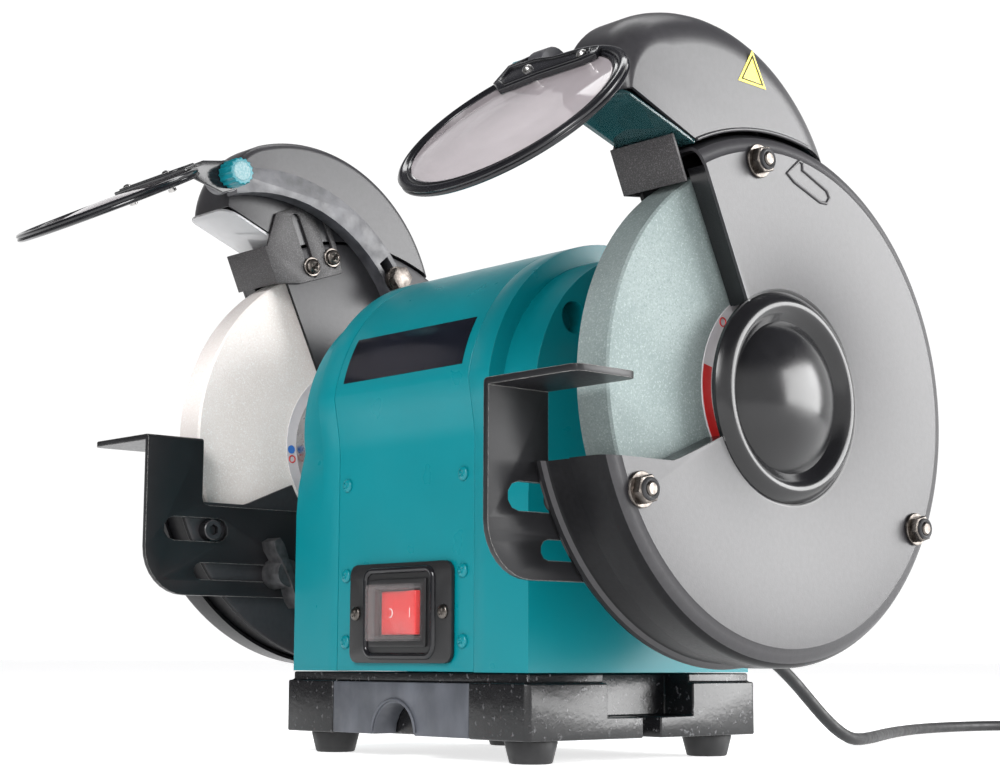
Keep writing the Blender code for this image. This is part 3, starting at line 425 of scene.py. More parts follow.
def rod(name, start, end, radius, sides=32, rounding=0.0):
    """A round bar between two points, its ends softened by the rounding."""
    start, end = Vector(start), Vector(end)
    length = (end - start).length
    profile = [(0, 0), (radius - rounding, 0), (radius, rounding), (radius, length - rounding),
               (radius - rounding, length), (0, length)]
    if not rounding:
        profile = [(0, 0), (radius, 0), (radius, length), (0, length)]
    return lathe(name, profile, start, end - start, sides, False)


def bar(name, side, near, far, spot, radius, sides=32, rounding=0.0):
    """A round bar along the shaft's direction, from near to far on one side."""
    return rod(name, (side * near, *spot), (side * far, *spot), radius, sides, rounding)


def arc(centre, radius, start, end, steps):
    points = []
    for step in range(steps + 1):
        angle = math.radians(start + (end - start) * step / steps)
        points.append((centre[0] + radius * math.cos(angle), centre[1] + radius * math.sin(angle)))
    return points


def polar(angle, radius, centre=(0.0, SHAFT_Z)):
    turn = math.radians(angle)
    return centre[0] + radius * math.cos(turn), centre[1] + radius * math.sin(turn)


def rounded_box(half_width, half_height, radius, centre=(0.0, 0.0), steps=8):
    """A rectangle's outline with round corners."""
    points = []
    for start, x, y in ((-90, 1, -1), (0, 1, 1), (90, -1, 1), (180, -1, -1)):
        corner = (centre[0] + x * (half_width - radius), centre[1] + y * (half_height - radius))
        points += arc(corner, radius, start, start + 90, steps)
    return points


def prism(name, plane, outline, start, end, holes=(), rounding=0.0, grow=0.0):
    """A flat outline thickened square to its plane (YZ, XZ or XY), with softened edges."""
    curve = bpy.data.curves.new(name, "CURVE")
    curve.dimensions = "2D"
    curve.fill_mode = "BOTH"
    curve.extrude = (abs(end - start) / 2 - rounding) * MM
    curve.bevel_depth = rounding * MM
    curve.bevel_resolution = 2
    curve.offset = (grow - rounding) * MM
    for ring in (outline, *holes):
        spline = curve.splines.new("POLY")
        spline.points.add(len(ring) - 1)
        for point, (across, up) in zip(spline.points, ring):
            point.co = (across * MM, up * MM, 0.0, 1.0)
        spline.use_cyclic_u = True
    middle = (start + end) / 2 * MM
    if plane == "YZ":
        spot, turn = (middle, 0, 0), (math.pi / 2, 0, math.pi / 2)
    elif plane == "XZ":
        spot, turn = (0, middle, 0), (math.pi / 2, 0, 0)
    else:
        spot, turn = (0, 0, middle), (0, 0, 0)
    made = add_object(name, curve)
    made.location = spot
    made.rotation_euler = turn
    bpy.context.view_layer.update()
    made = settle(made)
    made.data.transform(made.matrix_world)
    made.matrix_world = Matrix.Translation((0.0, SHAFT_Y, 0.0))
    bm = bmesh.new()
    bm.from_mesh(made.data)
    bmesh.ops.remove_doubles(bm, verts=bm.verts, dist=0.00001)
    bmesh.ops.recalc_face_normals(bm, faces=bm.faces)
    bm.to_mesh(made.data)
    bm.free()
    return smooth(made)


def thick_line(name, points, radius, closed=False):
    """A linked curve with a round section along a line of points."""
    curve = bpy.data.curves.new(name, "CURVE")
    curve.dimensions = "3D"
    curve.bevel_depth = radius * MM
    curve.bevel_resolution = 4
    curve.use_fill_caps = not closed
    spline = curve.splines.new("POLY")
    spline.points.add(len(points) - 1)
    for point, spot in zip(spline.points, points):
        point.co = (*(Vector(spot) * MM), 1.0)
    spline.use_cyclic_u = closed
    return add_object(name, curve, SHAFT_Y)


def tube(name, points, radius, closed=False):
    """A round bead along a line of points."""
    return smooth(settle(thick_line(name, points, radius, closed)), 60.0)


def lofted(name, loops):
    """A skin over matching loops of points, with its two ends filled."""
    bm = bmesh.new()
    rings = [chain(bm, loop, True)[1] for loop in loops]
    skin(bm, rings)
    for ring in (rings[0], rings[-1]):
        bmesh.ops.contextual_create(bm, geom=ring)
    return smooth(piece_from(name, bm))


def span(side, near, far):
    """The X range from near to far on one side, smallest first."""
    return tuple(sorted((side * near, side * far)))


# Materials

class Finish:
    """A procedural material and the name of the slot that it belongs to."""

    def __init__(self, name, slot, colour, roughness, **sockets):
        self.slot = slot
        self.colour = colour
        self.material = bpy.data.materials.new(name)
        self.material.use_nodes = True
        self.tree = self.material.node_tree
        self.shader = self.tree.nodes["Principled BSDF"]
        values = {"Base Color": (*colour, 1.0), "Roughness": roughness, **sockets}
        for socket, value in values.items():
            self.shader.inputs[socket.replace("_", " ")].default_value = value
        self.place = self.node("ShaderNodeTexCoord").outputs["Object"]
        self.normal = None

    def node(self, kind, inputs=None, **settings):
        return add_node(self.tree, kind, inputs, **settings)

    def feed(self, socket, output):
        """Drive an input of the surface shader by an output."""
        self.tree.links.new(output, self.shader.inputs[socket])
        return self

    def noise(self, scale, detail=3.0, stretch=None):
        """Noise with features about one metre over its scale in size."""
        place = self.place
        if stretch:
            place = self.node("ShaderNodeMapping", {"Scale": stretch, "Vector": place}).outputs["Vector"]
        inputs = {"Scale": scale, "Detail": detail, "Vector": place}
        return self.node("ShaderNodeTexNoise", inputs).outputs["Fac"]

    def grains(self, scale):
        """Cells about one metre over the scale across, each with its own colour."""
        return self.node("ShaderNodeTexVoronoi", {"Scale": scale, "Vector": self.place}).outputs["Color"]

    def ramp(self, value, low, high, start=0.3, end=0.7):
        """A colour that goes from low to high as the value passes start to end."""
        return add_ramp(self.tree, value, low, high, start, end)

    def mix(self, factor, low, high):
        """Blend two colours by an output."""
        return self.node("ShaderNodeMix", {0: factor, 6: low, 7: high}, data_type="RGBA").outputs[2]

    def paint(self, output):
        return self.feed("Base Color", output)

    def drift(self, low, high, scale, detail, stretch=None):
        """Let the colour drift between two tones in patches of noise."""
        return self.paint(self.ramp(self.noise(scale, detail, stretch), low, high))

    def mottle(self, scale, low, high):
        """Let the colour drift between two brightnesses in soft patches."""
        darker = [channel * low for channel in self.colour]
        lighter = [min(1.0, channel * high) for channel in self.colour]
        return self.drift(darker, lighter, scale, 3.0)

    def rough(self, scale, low, high):
        """Let the roughness drift between two values."""
        inputs = {"Value": self.noise(scale), "From Min": 0.3, "From Max": 0.7,
                  "To Min": low, "To Max": high}
        return self.feed("Roughness", self.node("ShaderNodeMapRange", inputs).outputs["Result"])

    def bump(self, depth, scale, detail=3.0, stretch=None):
        """Add bumps of noise, their full range standing for the depth in millimetres."""
        inputs = {"Strength": 1.0, "Distance": depth * MM, "Height": self.noise(scale, detail, stretch)}
        if self.normal is not None:
            inputs["Normal"] = self.normal
        self.normal = self.node("ShaderNodeBump", inputs).outputs["Normal"]
        return self.feed("Normal", self.normal)

    def painted_edge_highlight(self, colour_output, bright, radius, start=0.02, end=0.12):
        """Show a brighter colour where an edge is sharper than the radius: a painted highlight along the
        edges, broken up by noise.
        """
        bevel = self.node("ShaderNodeBevel", {"Radius": radius * MM}, samples=4).outputs["Normal"]
        facing = self.node("ShaderNodeNewGeometry").outputs["Normal"]
        along = self.node("ShaderNodeVectorMath", {0: bevel, 1: facing}, operation="DOT_PRODUCT")
        bend = self.node("ShaderNodeMath", {0: 1.0, 1: along.outputs["Value"]}, operation="SUBTRACT")
        inputs = {0: bend.outputs[0], 1: self.noise(500.0)}
        broken = self.node("ShaderNodeMath", inputs, operation="MULTIPLY")
        mask = self.ramp(broken.outputs[0], BLACK, WHITE, start, end)
        return self.paint(self.mix(mask, colour_output, (*bright, 1.0)))


def teal_enamel():
    made = Finish("teal_enamel", "teal_paint", (0.0, 0.2, 0.235), 0.3, Specular_IOR_Level=0.4)
    return made.mottle(14.0, 0.95, 1.05).rough(45.0, 0.27, 0.34).bump(0.012, 1100.0, 1.0)


def powder_coat():
    """Fine pebbled black coat of the guards and hoods."""
    made = Finish("powder_coat", "black_coat", (0.03, 0.029, 0.032), 0.36)
    return made.mottle(400.0, 0.9, 1.1).rough(900.0, 0.34, 0.38).bump(0.03, 1500.0, 2.0)


def shaded_wall_coat():
    """Darker, less glossy copy of the powder coat for the drum walls and the covers' rims: painted shade
    on the faces that turn away from the shaft's direction, which also mirror less of the room.
    """
    made = Finish("shaded_wall_coat", "black_coat", (0.008, 0.008, 0.009), 0.3, Specular_IOR_Level=0.12)
    return made.mottle(400.0, 0.85, 1.15).rough(700.0, 0.29, 0.36).bump(0.03, 1500.0, 2.0)


def satin_black():
    """Satin coat of the tool rests, with a painted highlight along its edges."""
    made = Finish("satin_black", "black_coat", (0.014, 0.014, 0.016), 0.33, Specular_IOR_Level=0.3)
    tones = made.ramp(made.noise(30.0), (0.011, 0.011, 0.012), (0.018, 0.018, 0.02))
    # pale grey laid along the sharp edges as a painted edge highlight
    made.painted_edge_highlight(tones, (0.5, 0.49, 0.47), 0.6)
    return made.rough(600.0, 0.29, 0.37).bump(0.025, 1300.0, 2.0)


def gloss_pressing():
    """Glossy black of a cover's ring, dome and folded edges."""
    made = Finish("gloss_pressing", "black_coat", (0.008, 0.008, 0.009), 0.2)
    return made.mottle(40.0, 0.8, 1.3).rough(80.0, 0.17, 0.25).bump(0.015, 700.0, 2.0)


def arrester_coat():
    """Coarser black crackle of the spark arresters."""
    made = Finish("arrester_coat", "black_coat", (0.035, 0.033, 0.034), 0.5)
    specks = made.ramp(made.noise(1900.0, 2.0), (0.02, 0.018, 0.019), (0.12, 0.115, 0.12), 0.5, 0.8)
    return made.paint(specks).bump(0.12, 900.0)


def arm_casting():
    """Mottled dark die casting of the shield arms."""
    made = Finish("arm_casting", "black_coat", (0.05, 0.05, 0.055), 0.42)
    made.drift((0.03, 0.03, 0.034), (0.09, 0.09, 0.1), 110.0, 5.0)
    return made.rough(150.0, 0.32, 0.5).bump(0.06, 700.0, 4.0)


def base_enamel():
    """Thick glossy black paint on a rough sand casting."""
    made = Finish("base_enamel", "black_casting", (0.01, 0.01, 0.012), 0.27)
    grit = made.ramp(made.noise(420.0, 4.0), (0.007, 0.007, 0.008), (0.09, 0.09, 0.095), 0.62, 0.7)
    return made.paint(grit).bump(0.16, 190.0).bump(0.06, 800.0)


def gloss_moulding():
    """Glossy black of the lens frames and of the switch plate's rim."""
    made = Finish("gloss_moulding", "gloss_black", (0.01, 0.01, 0.012), 0.14)
    return made.mottle(50.0, 0.8, 1.25).rough(70.0, 0.11, 0.18).bump(0.012, 500.0)


def bezel_moulding():
    """Grained black plastic of the switch plate and its module."""
    made = Finish("bezel_moulding", "gloss_black", (0.012, 0.012, 0.013), 0.38)
    return made.mottle(60.0, 0.8, 1.3).bump(0.06, 1700.0)


def insert_moulding():
    """Dull blue-grey plastic of the base insert, a little scuffed."""
    made = Finish("insert_moulding", "grey_plastic", (0.07, 0.077, 0.09), 0.48)
    made.drift((0.05, 0.054, 0.064), (0.11, 0.117, 0.138), 70.0, 6.0, (1.0, 1.0, 0.4))
    return made.rough(200.0, 0.4, 0.6).bump(0.05, 300.0, 4.0)


def red_moulding():
    made = Finish("red_moulding", "red_plastic", (0.82, 0.02, 0.018), 0.28)
    return made.mottle(120.0, 0.9, 1.08).bump(0.01, 700.0)


def white_print():
    return Finish("white_print", "red_plastic", (0.85, 0.83, 0.82), 0.4).mottle(900.0, 0.92, 1.05)


def clear_film(name, colour, least, most, ripple):
    """Clear plastic, its opacity going from least head on to most when seen flat."""
    made = Finish(name, "clear_plastic", colour, 0.05)
    facing = made.node("ShaderNodeLayerWeight", {"Blend": 0.35}).outputs["Facing"]
    spread = made.node("ShaderNodeMapRange", {"Value": facing, "To Min": least, "To Max": most})
    made.feed("Alpha", spread.outputs["Result"])
    return made.mottle(35.0, 0.93, 1.04).rough(60.0, 0.03, 0.09).bump(0.012, ripple)


def turned_steel():
    made = Finish("turned_steel", "steel", (0.5, 0.49, 0.48), 0.28, Metallic=1.0)
    return made.mottle(120.0, 0.85, 1.1).rough(300.0, 0.22, 0.36).bump(0.01, 900.0, 2.0, (4.0, 1.0, 1.0))


def bronzed_steel():
    """Oiled dark plating of the nuts, bolts and screws."""
    made = Finish("bronzed_steel", "steel", (0.12, 0.105, 0.095), 0.3, Metallic=1.0)
    made.drift((0.07, 0.062, 0.056), (0.19, 0.17, 0.155), 350.0, 4.0)
    return made.rough(420.0, 0.24, 0.42).bump(0.012, 1100.0)


def wing_casting():
    """Grey die casting of the wing bolts."""
    made = Finish("wing_casting", "steel", (0.07, 0.07, 0.073), 0.4, Metallic=0.6)
    return made.drift((0.045, 0.045, 0.048), (0.1, 0.1, 0.104), 250.0, 4.0).bump(0.05, 600.0)


def nylon_ring():
    made = Finish("nylon_ring", "steel", (0.02, 0.02, 0.022), 0.45)
    return made.mottle(300.0, 0.8, 1.3).bump(0.01, 900.0)


def sheet_lamination():
    """Stacked sheet steel: fine lines across the shaft's direction."""
    made = Finish("sheet_lamination", "lamination_steel", (0.3, 0.3, 0.31), 0.45, Metallic=1.0)
    return made.mottle(60.0, 0.85, 1.15).bump(0.05, 900.0, 1.0, (2.0, 0.01, 0.01))


def varnished_copper():
    made = Finish("varnished_copper", "copper", (0.66, 0.27, 0.1), 0.3, Metallic=0.8, Coat_Weight=0.4)
    return made.mottle(200.0, 0.7, 1.2).bump(0.2, 600.0, 2.0, (0.15, 1.0, 1.0))


def abrasive(name, slot, low, high, fleck):
    """Bonded grit: packed grains of slightly different tones."""
    made = Finish(name, slot, low, 0.88)
    base = made.ramp(made.noise(18.0, 5.0), [0.96 * channel for channel in low], high, 0.35, 0.65)
    grain = made.ramp(made.grains(1500.0), low, fleck, 0.35, 0.9)
    mask = made.ramp(made.noise(1200.0, 2.0), BLACK, WHITE, 0.42, 0.62)
    return made.paint(made.mix(mask, base, grain)).bump(0.16, 1300.0)


def blotter_paper(name, colour):
    return Finish(name, "steel", colour, 0.42).mottle(90.0, 0.93, 1.05).bump(0.01, 800.0)


def black_rubber():
    made = Finish("black_rubber", "rubber", (0.012, 0.012, 0.013), 0.5)
    return made.mottle(70.0, 0.8, 1.3).rough(240.0, 0.42, 0.6).bump(0.03, 900.0)


def knob_moulding():
    made = Finish("knob_moulding", "knob_teal", (0.0, 0.17, 0.21), 0.34)
    return made.mottle(260.0, 0.85, 1.12).bump(0.02, 900.0)


def knob_face():
    """Pale frosted cap on the end of a knob."""
    made = Finish("knob_face", "knob_teal", (0.2, 0.42, 0.46), 0.55)
    return made.drift((0.1, 0.26, 0.29), (0.3, 0.42, 0.44), 900.0, 3.0).bump(0.12, 1300.0, 2.0)


def label_film():
    made = Finish("label_film", "gloss_black", (0.006, 0.007, 0.012), 0.2)
    return made.mottle(30.0, 0.8, 1.5).rough(50.0, 0.09, 0.18)


def sign_film(name, colour):
    return Finish(name, "knob_teal", colour, 0.35).mottle(150.0, 0.94, 1.05)


add_camera()
add_floor()
add_world()
add_lights()

TEAL = teal_enamel()
POWDER = powder_coat()
SHADED_WALL = shaded_wall_coat()
SATIN = satin_black()
PRESSING = gloss_pressing()
ARRESTER = arrester_coat()
ARM = arm_casting()
BASE = base_enamel()
GLOSS = gloss_moulding()
BEZEL = bezel_moulding()
INSERT = insert_moulding()
RED = red_moulding()
PRINT = white_print()
CAP = clear_film("cap_film", (0.6, 0.54, 0.54), 0.02, 0.3, 90.0)
# The spark plates are one clear plastic; the left is made pale grey as a painted reflection, the right
# dark teal as painted shade from the hood's inside with a painted reflection of the teal housing.
MOUTH_PAINTED_LIGHT = {"left": clear_film("left_mouth_painted_reflection", (0.5, 0.5, 0.51), 0.8, 0.95, 90.0),
         "right": clear_film("right_mouth_painted_shade_and_reflection", (0.02, 0.06, 0.065), 0.55, 0.9, 90.0)}
LENS = clear_film("lens_film", (0.5, 0.45, 0.47), 0.35, 0.9, 45.0)
STEEL = turned_steel()
BRONZED = bronzed_steel()
WING = wing_casting()
NYLON = nylon_ring()
LAMINATION = sheet_lamination()
COPPER = varnished_copper()
GREEN_GRIT = abrasive("green_grit", "green_grit", (0.2, 0.25, 0.245), (0.27, 0.32, 0.315),
                      (0.34, 0.395, 0.39))
WHITE_GRIT = abrasive("white_grit", "white_grit", (0.86, 0.8, 0.76), (0.95, 0.89, 0.86),
                      (0.98, 0.96, 0.94))
RED_PAPER = blotter_paper("red_paper", (0.6, 0.02, 0.02))
PALE_PAPER = blotter_paper("pale_paper", (0.6, 0.58, 0.6))
RUBBER = black_rubber()
KNOB = knob_moulding()
KNOB_FACE = knob_face()
LABEL = label_film()
YELLOW = sign_film("yellow_film", (0.6, 0.5, 0.0))
BLUE = sign_film("blue_film", (0.02, 0.16, 0.55))


def dress(obj, body, finish, stands_for=()):
    """Give a piece its finish and its body, and hide the CAD nodes that it stands for."""
    obj.data.materials.clear()
    obj.data.materials.append(finish.material)
    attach(obj, body)
    if stands_for:
        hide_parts(*([stands_for] if isinstance(stands_for, str) else stands_for))
    return obj


def repaint(node, finish):
    """Give a CAD node that stays visible its finish."""
    obj = frame["nodes"][node]
    obj.data.materials.clear()
    obj.data.materials.append(finish.material)


def refined(node, body, finish, rounding=0.4, segments=2):
    """A copy of a CAD node with its flat faces merged and its edges softened."""
    bm = bmesh.new()
    bm.from_mesh(frame["nodes"][node].data)
    bmesh.ops.remove_doubles(bm, verts=bm.verts, dist=0.00005)
    bmesh.ops.dissolve_limit(bm, angle_limit=math.radians(0.6), verts=bm.verts, edges=bm.edges)
    soften(bm, rounding, segments, 35)
    made = add_object(node + "_fine", mesh_from(node + "_fine", bm))
    return dress(smooth(made), body, finish, node)


def pan_screw(name, centre, axis, radius, height, finish, body):
    """A domed screw head with a cross recess, its underside at the centre point."""
    rim = height * 0.35
    profile = [(0, 0), (radius, 0), (radius, rim)]
    for step in range(1, 7):
        turn = math.radians(90 * step / 6)
        profile.append((radius * math.cos(turn), rim + (height - rim) * math.sin(turn)))
    profile[-1] = (0, height)
    head = lathe(name, profile, centre, axis, 28, False)
    outward = Vector(axis)
    across = outward.orthogonal().normalized()
    top = Vector(centre) + outward * height
    for sideways in (across, outward.cross(across)):
        slot = rod("cross_slot", top - sideways * radius * 0.55, top + sideways * radius * 0.55,
                   height * 0.42, 4)
        cut(head, slot)
    return dress(smooth(head), body, finish)


# Mains lead

def smooth_route(points, spacing):
    """Points about one spacing apart on a smooth curve through the given ones."""
    knots = [Vector(point) for point in points]
    ends = [2 * knots[0] - knots[1]] + knots + [2 * knots[-1] - knots[-2]]
    fine = []
    for a, b, c, d in zip(ends, ends[1:], ends[2:], ends[3:]):
        steps = max(1, round((c - b).length / spacing))
        for step in range(steps):
            t = step / steps
            fine.append(0.5 * (2 * b + (c - a) * t + (2 * a - 5 * b + 4 * c - d) * t ** 2
                               + (3 * b - a - 3 * c + d) * t ** 3))
    return fine + [knots[-1]]


def coil_turns():
    """Turns wound inward on the floor and then outward on top of them."""
    floor, top = COIL_LEVELS
    points = []
    steps = 24
    for step in range(COIL_TURNS * steps + 1):
        turn = step / steps
        whole = min(int(turn), COIL_TURNS - 1)
        part = turn - whole
        ease = part * part * (3 - 2 * part)
        radius = COIL_RADII[whole] + (COIL_RADII[whole + 1] - COIL_RADII[whole]) * ease
        climb = min(max(turn - 2.75, 0.0), 1.0)
        height = floor + (top - floor) * climb * climb * (3 - 2 * climb)
        points.append((*polar(90 - 360 * turn, radius, COIL_CENTRE), height))
    return points


def mains_lead():
    """The free cord, its strain relief and the plug on its far end."""
    route = smooth_route(CORD_ROUTE + coil_turns()[:1], 8.0)[:-1] + coil_turns()
    route += [*PLUG_APPROACH, PLUG_TAIL]
    cord = thick_line("mains_cord", route, CORD_DIAMETER / 2)
    cord.data.splines[0].use_smooth = True
    dress(cord, "frame", RUBBER, ("cord", "cord_coil"))
    x, y, z = CORD_ROUTE[0]
    rear = HOUSING_REAR
    profile = [(0, rear + 0.3), (9.0, rear + 0.3), (9.0, rear + 6), (6.8, rear + 8)]
    for ring in range(6):
        out = HOUSING_REAR + 10 + ring * 4.9
        width = 6.4 - ring * 0.32
        profile += [(width, out), (width, out + 2.6), (width - 1.3, out + 3.0), (width - 1.3, out + 4.4)]
    profile += [(3.6, y - 0.3), (0, y - 0.3)]
    relief = lathe("cord_relief", profile, (x, 0.0, z), (0, 1, 0), 32, False)
    dress(relief, "frame", RUBBER, "strain_relief")
    plug = mains_plug()


def mains_plug():
    """Moulded two-pin plug, its tail ribbed where the cord goes in."""
    x, y, z = PLUG_TAIL
    profile = [(0, 0), (4.4, 0), (5.2, 6), (4.7, 6.6), (5.7, 12), (5.2, 12.6), (6.6, 18), (6.2, 18.6),
               (7.6, 23), (11.4, 25), (12.6, 29), (12.3, 36), (13.0, 44), (13.0, 47.5), (12.0, 49),
               (10.5, 50), (0, 50)]
    plug = dress(lathe("mains_plug", profile, (x, y, z), (1, 0, 0), 48, False), "frame", RUBBER, "plug")
    pins = [rod("plug_pins", (x + 49, y + step, z), (x + 68.6, y + step, z), 2.4, 20, 0.8)
            for step in (-9.5, 9.5)]
    dress(merge(*pins), "frame", STEEL)
    return plug


mains_lead()


# Base and feet

def base_and_feet():
    refined("base_casting", "frame", BASE, 0.9, 3)
    refined("base_insert", "frame", INSERT, 0.5)
    arch = tube("insert_arch_rim", [(x, -80.9, z) for x, z in arc((-3.0, 10.9), 16.2, 4, 176, 24)], 0.7)
    dress(arch, "frame", INSERT)
    for row in ("front", "rear"):
        for name in SIDES:
            node = f"foot_{row}_{name}"
            refined(node, "frame", RUBBER, 0.8)


# Motor housing

def housing_side(inset):
    front = HOUSING_FRONT + inset
    rear = HOUSING_REAR - inset
    radius = ARCH_RADIUS - inset
    ridge = math.degrees(math.asin(RIDGE_HEIGHT / radius))
    shoulder = [(front, SHAFT_Z - 16), (front - 0.7, SHAFT_Z - 8), (front - 2.4, SHAFT_Z + 2)]
    tail = [(radius - 0.8, SHAFT_Z), (radius - 5, SHAFT_Z - 14), (rear + 3, SHAFT_Z - 25),
            (rear, SHAFT_Z - 36)]
    return shoulder + arc((0.0, SHAFT_Z), radius, 180 - ridge, ridge, 56) + tail


def housing_outline(inset, bottom):
    return ([(HOUSING_FRONT + inset, bottom)] + housing_side(inset)
            + [(HOUSING_REAR - inset, bottom)])


def boss_outline():
    drop = math.degrees(math.asin(12.0 / BOSS_RADIUS))
    return ([(HOUSING_FRONT, HOUSING_BOTTOM), (HOUSING_FRONT, SHAFT_Z - 44),
             (HOUSING_FRONT + 1, SHAFT_Z - 30), (HOUSING_FRONT + 3, SHAFT_Z - 20)]
            + arc((0.0, SHAFT_Z), BOSS_RADIUS, 180 + drop, -drop, 52)
            + [(HOUSING_REAR + 2.4, SHAFT_Z - 22), (HOUSING_REAR, SHAFT_Z - 34),
               (HOUSING_REAR, HOUSING_BOTTOM)])


def on_plane(edge, x):
    """Whether an edge lies in the face at X, above the housing's bottom."""
    return (all(abs(vert.co.x - x * MM) < 1e-5 for vert in edge.verts)
            and max(vert.co.z for vert in edge.verts) > (HOUSING_BOTTOM + 1) * MM)


def body_shell():
    bottom = HOUSING_BOTTOM + 0.2
    outline = housing_outline(0.0, bottom) + housing_outline(SHELL_SHEET, bottom)[::-1]
    shell = prism("shell_fine", "YZ", outline, -SHELL_HALF, SHELL_HALF, rounding=0.35)
    window = rounded_box(WINDOW_HALF[0] + 0.3, WINDOW_HALF[1] + 0.3, 0.5, (0.0, SWITCH_Z))
    cut(shell, prism("switch_window", "XZ", window, HOUSING_FRONT - 5, HOUSING_FRONT + 5))
    flat = shell.modifiers.new("even_shading", "WEIGHTED_NORMAL")
    flat.keep_sharp = True
    dress(shell, "frame", TEAL, "body_shell")


def end_bell(name, side):
    near, far = span(side, SHELL_HALF + 0.3, BAND_END)
    bell = prism(f"bell_{name}", "YZ", housing_outline(0.0, HOUSING_BOTTOM), near, far)
    round_edges(bell, 3.2, 4, lambda edge: on_plane(edge, side * BAND_END))
    round_edges(bell, 0.4, 2, lambda edge: on_plane(edge, side * (SHELL_HALF + 0.3)))
    near, far = span(side, BAND_END - 6, BOSS_END)
    boss = prism("bell_boss", "YZ", boss_outline(), near, far)
    round_edges(boss, 7.5, 6, lambda edge: on_plane(edge, side * BOSS_END))
    join(bell, boss)
    centre = (0.0, SHAFT_Z)
    join(bell, bar("bell_hub", side, 66, HUB_END, centre, HUB_RADIUS, 64, 1.5))
    for angle in POST_ANGLES:
        spot = polar(angle, POST_RADIUS)
        join(bell, bar("guard_post", side, BOSS_END - 3, GUARD_BACK - 0.3, spot, 9.0, 36, 0.6))
    cut(bell, bar("shaft_hole", side, 60, 110, centre, 11.0, 36))
    for spot in VENT_SPOTS:
        cut(bell, bar("vent_hole", side, 76, 95, spot, 7.6, 36))
    dress(smooth(bell), "frame", TEAL, f"end_bell_{name}")


def front_panel():
    """The panel's screws and the plain band on the arch."""
    for number, (x, z) in enumerate(((43.6, 130.3), (43.6, 86.0), (43.6, 54.0)), start=1):
        for name, side in SIDES.items():
            pan_screw(f"panel_screw_{name}_{number}", (side * x, HOUSING_FRONT, z), (0, -1, 0), 3.3, 2.0,
                      TEAL, "frame")
    outer = arc((0.0, SHAFT_Z), ARCH_RADIUS + 0.22, 149.6, 166.8, 20)
    inner = arc((0.0, SHAFT_Z), ARCH_RADIUS + 0.02, 166.8, 149.6, 20)
    dress(prism("label_band", "YZ", outer + inner, -45.0, 45.0), "frame", LABEL)


# Switch

def switch_cap():
    """Clear dust cap over the rocker, open at its back."""
    back = BEZEL_FACE - 0.3
    outer = rounded_box(*CAP_HALF, 1.8, (0.0, SWITCH_Z))
    inner = rounded_box(CAP_HALF[0] - 1, CAP_HALF[1] - 1, 1.0, (0.0, SWITCH_Z))
    cap = prism("cap_fine", "XZ", outer, back - 5.5, back, rounding=0.45)
    cut(cap, prism("cap_hollow", "XZ", inner, back - 4.5, back + 3))
    dress(smooth(cap), "frame", CAP, "switch_cap")


def switch():
    refined("switch_bezel", "frame", BEZEL, 0.5)
    rim = [(x, BEZEL_FACE + 0.3, z) for x, z in rounded_box(25.2, 20.2, 5.0, (0.0, SWITCH_Z))]
    dress(tube("bezel_rim", rim, 1.7, True), "frame", GLOSS)
    module = prism("switch_module", "XZ", rounded_box(21.0, 16.0, 1.0, (0.0, SWITCH_Z)),
                   BEZEL_FACE - 1.2, BEZEL_FACE + 1.0,
                   [rounded_box(17.0, 11.2, 0.6, (0.0, SWITCH_Z))], 0.3)
    dress(module, "frame", BEZEL)
    refined("switch_rocker", "rocker", RED, 0.5)
    switch_cap()
    for name, x in (("left", -32.6), ("right", 32.6)):
        spot = (x, BEZEL_FACE, SWITCH_Z)
        pan_screw(f"bezel_screw_{name}", spot, (0, -1, 0), 3.4, 1.9, BRONZED, "frame")
    ring = tube("mark_off", [(x, 0.0, z) for x, z in arc((0, 0), 2.0, 0, 345, 23)], 0.3, True)
    bar = tube("mark_on", [(0.0, 0.0, -2.2), (0.0, 0.0, 2.2)], 0.35)
    for mark, x, y in ((ring, -9.0, -4.3), (bar, 9.0, -4.3)):
        mark.location = world(0.0, -75.0, SWITCH_Z)
        mark.rotation_euler.z = math.radians(ROCKER_TILT)
        mark.data.transform(Matrix.Translation(Vector((x, y, 0.0)) * MM))
        dress(mark, "rocker", PRINT)


# Rotor

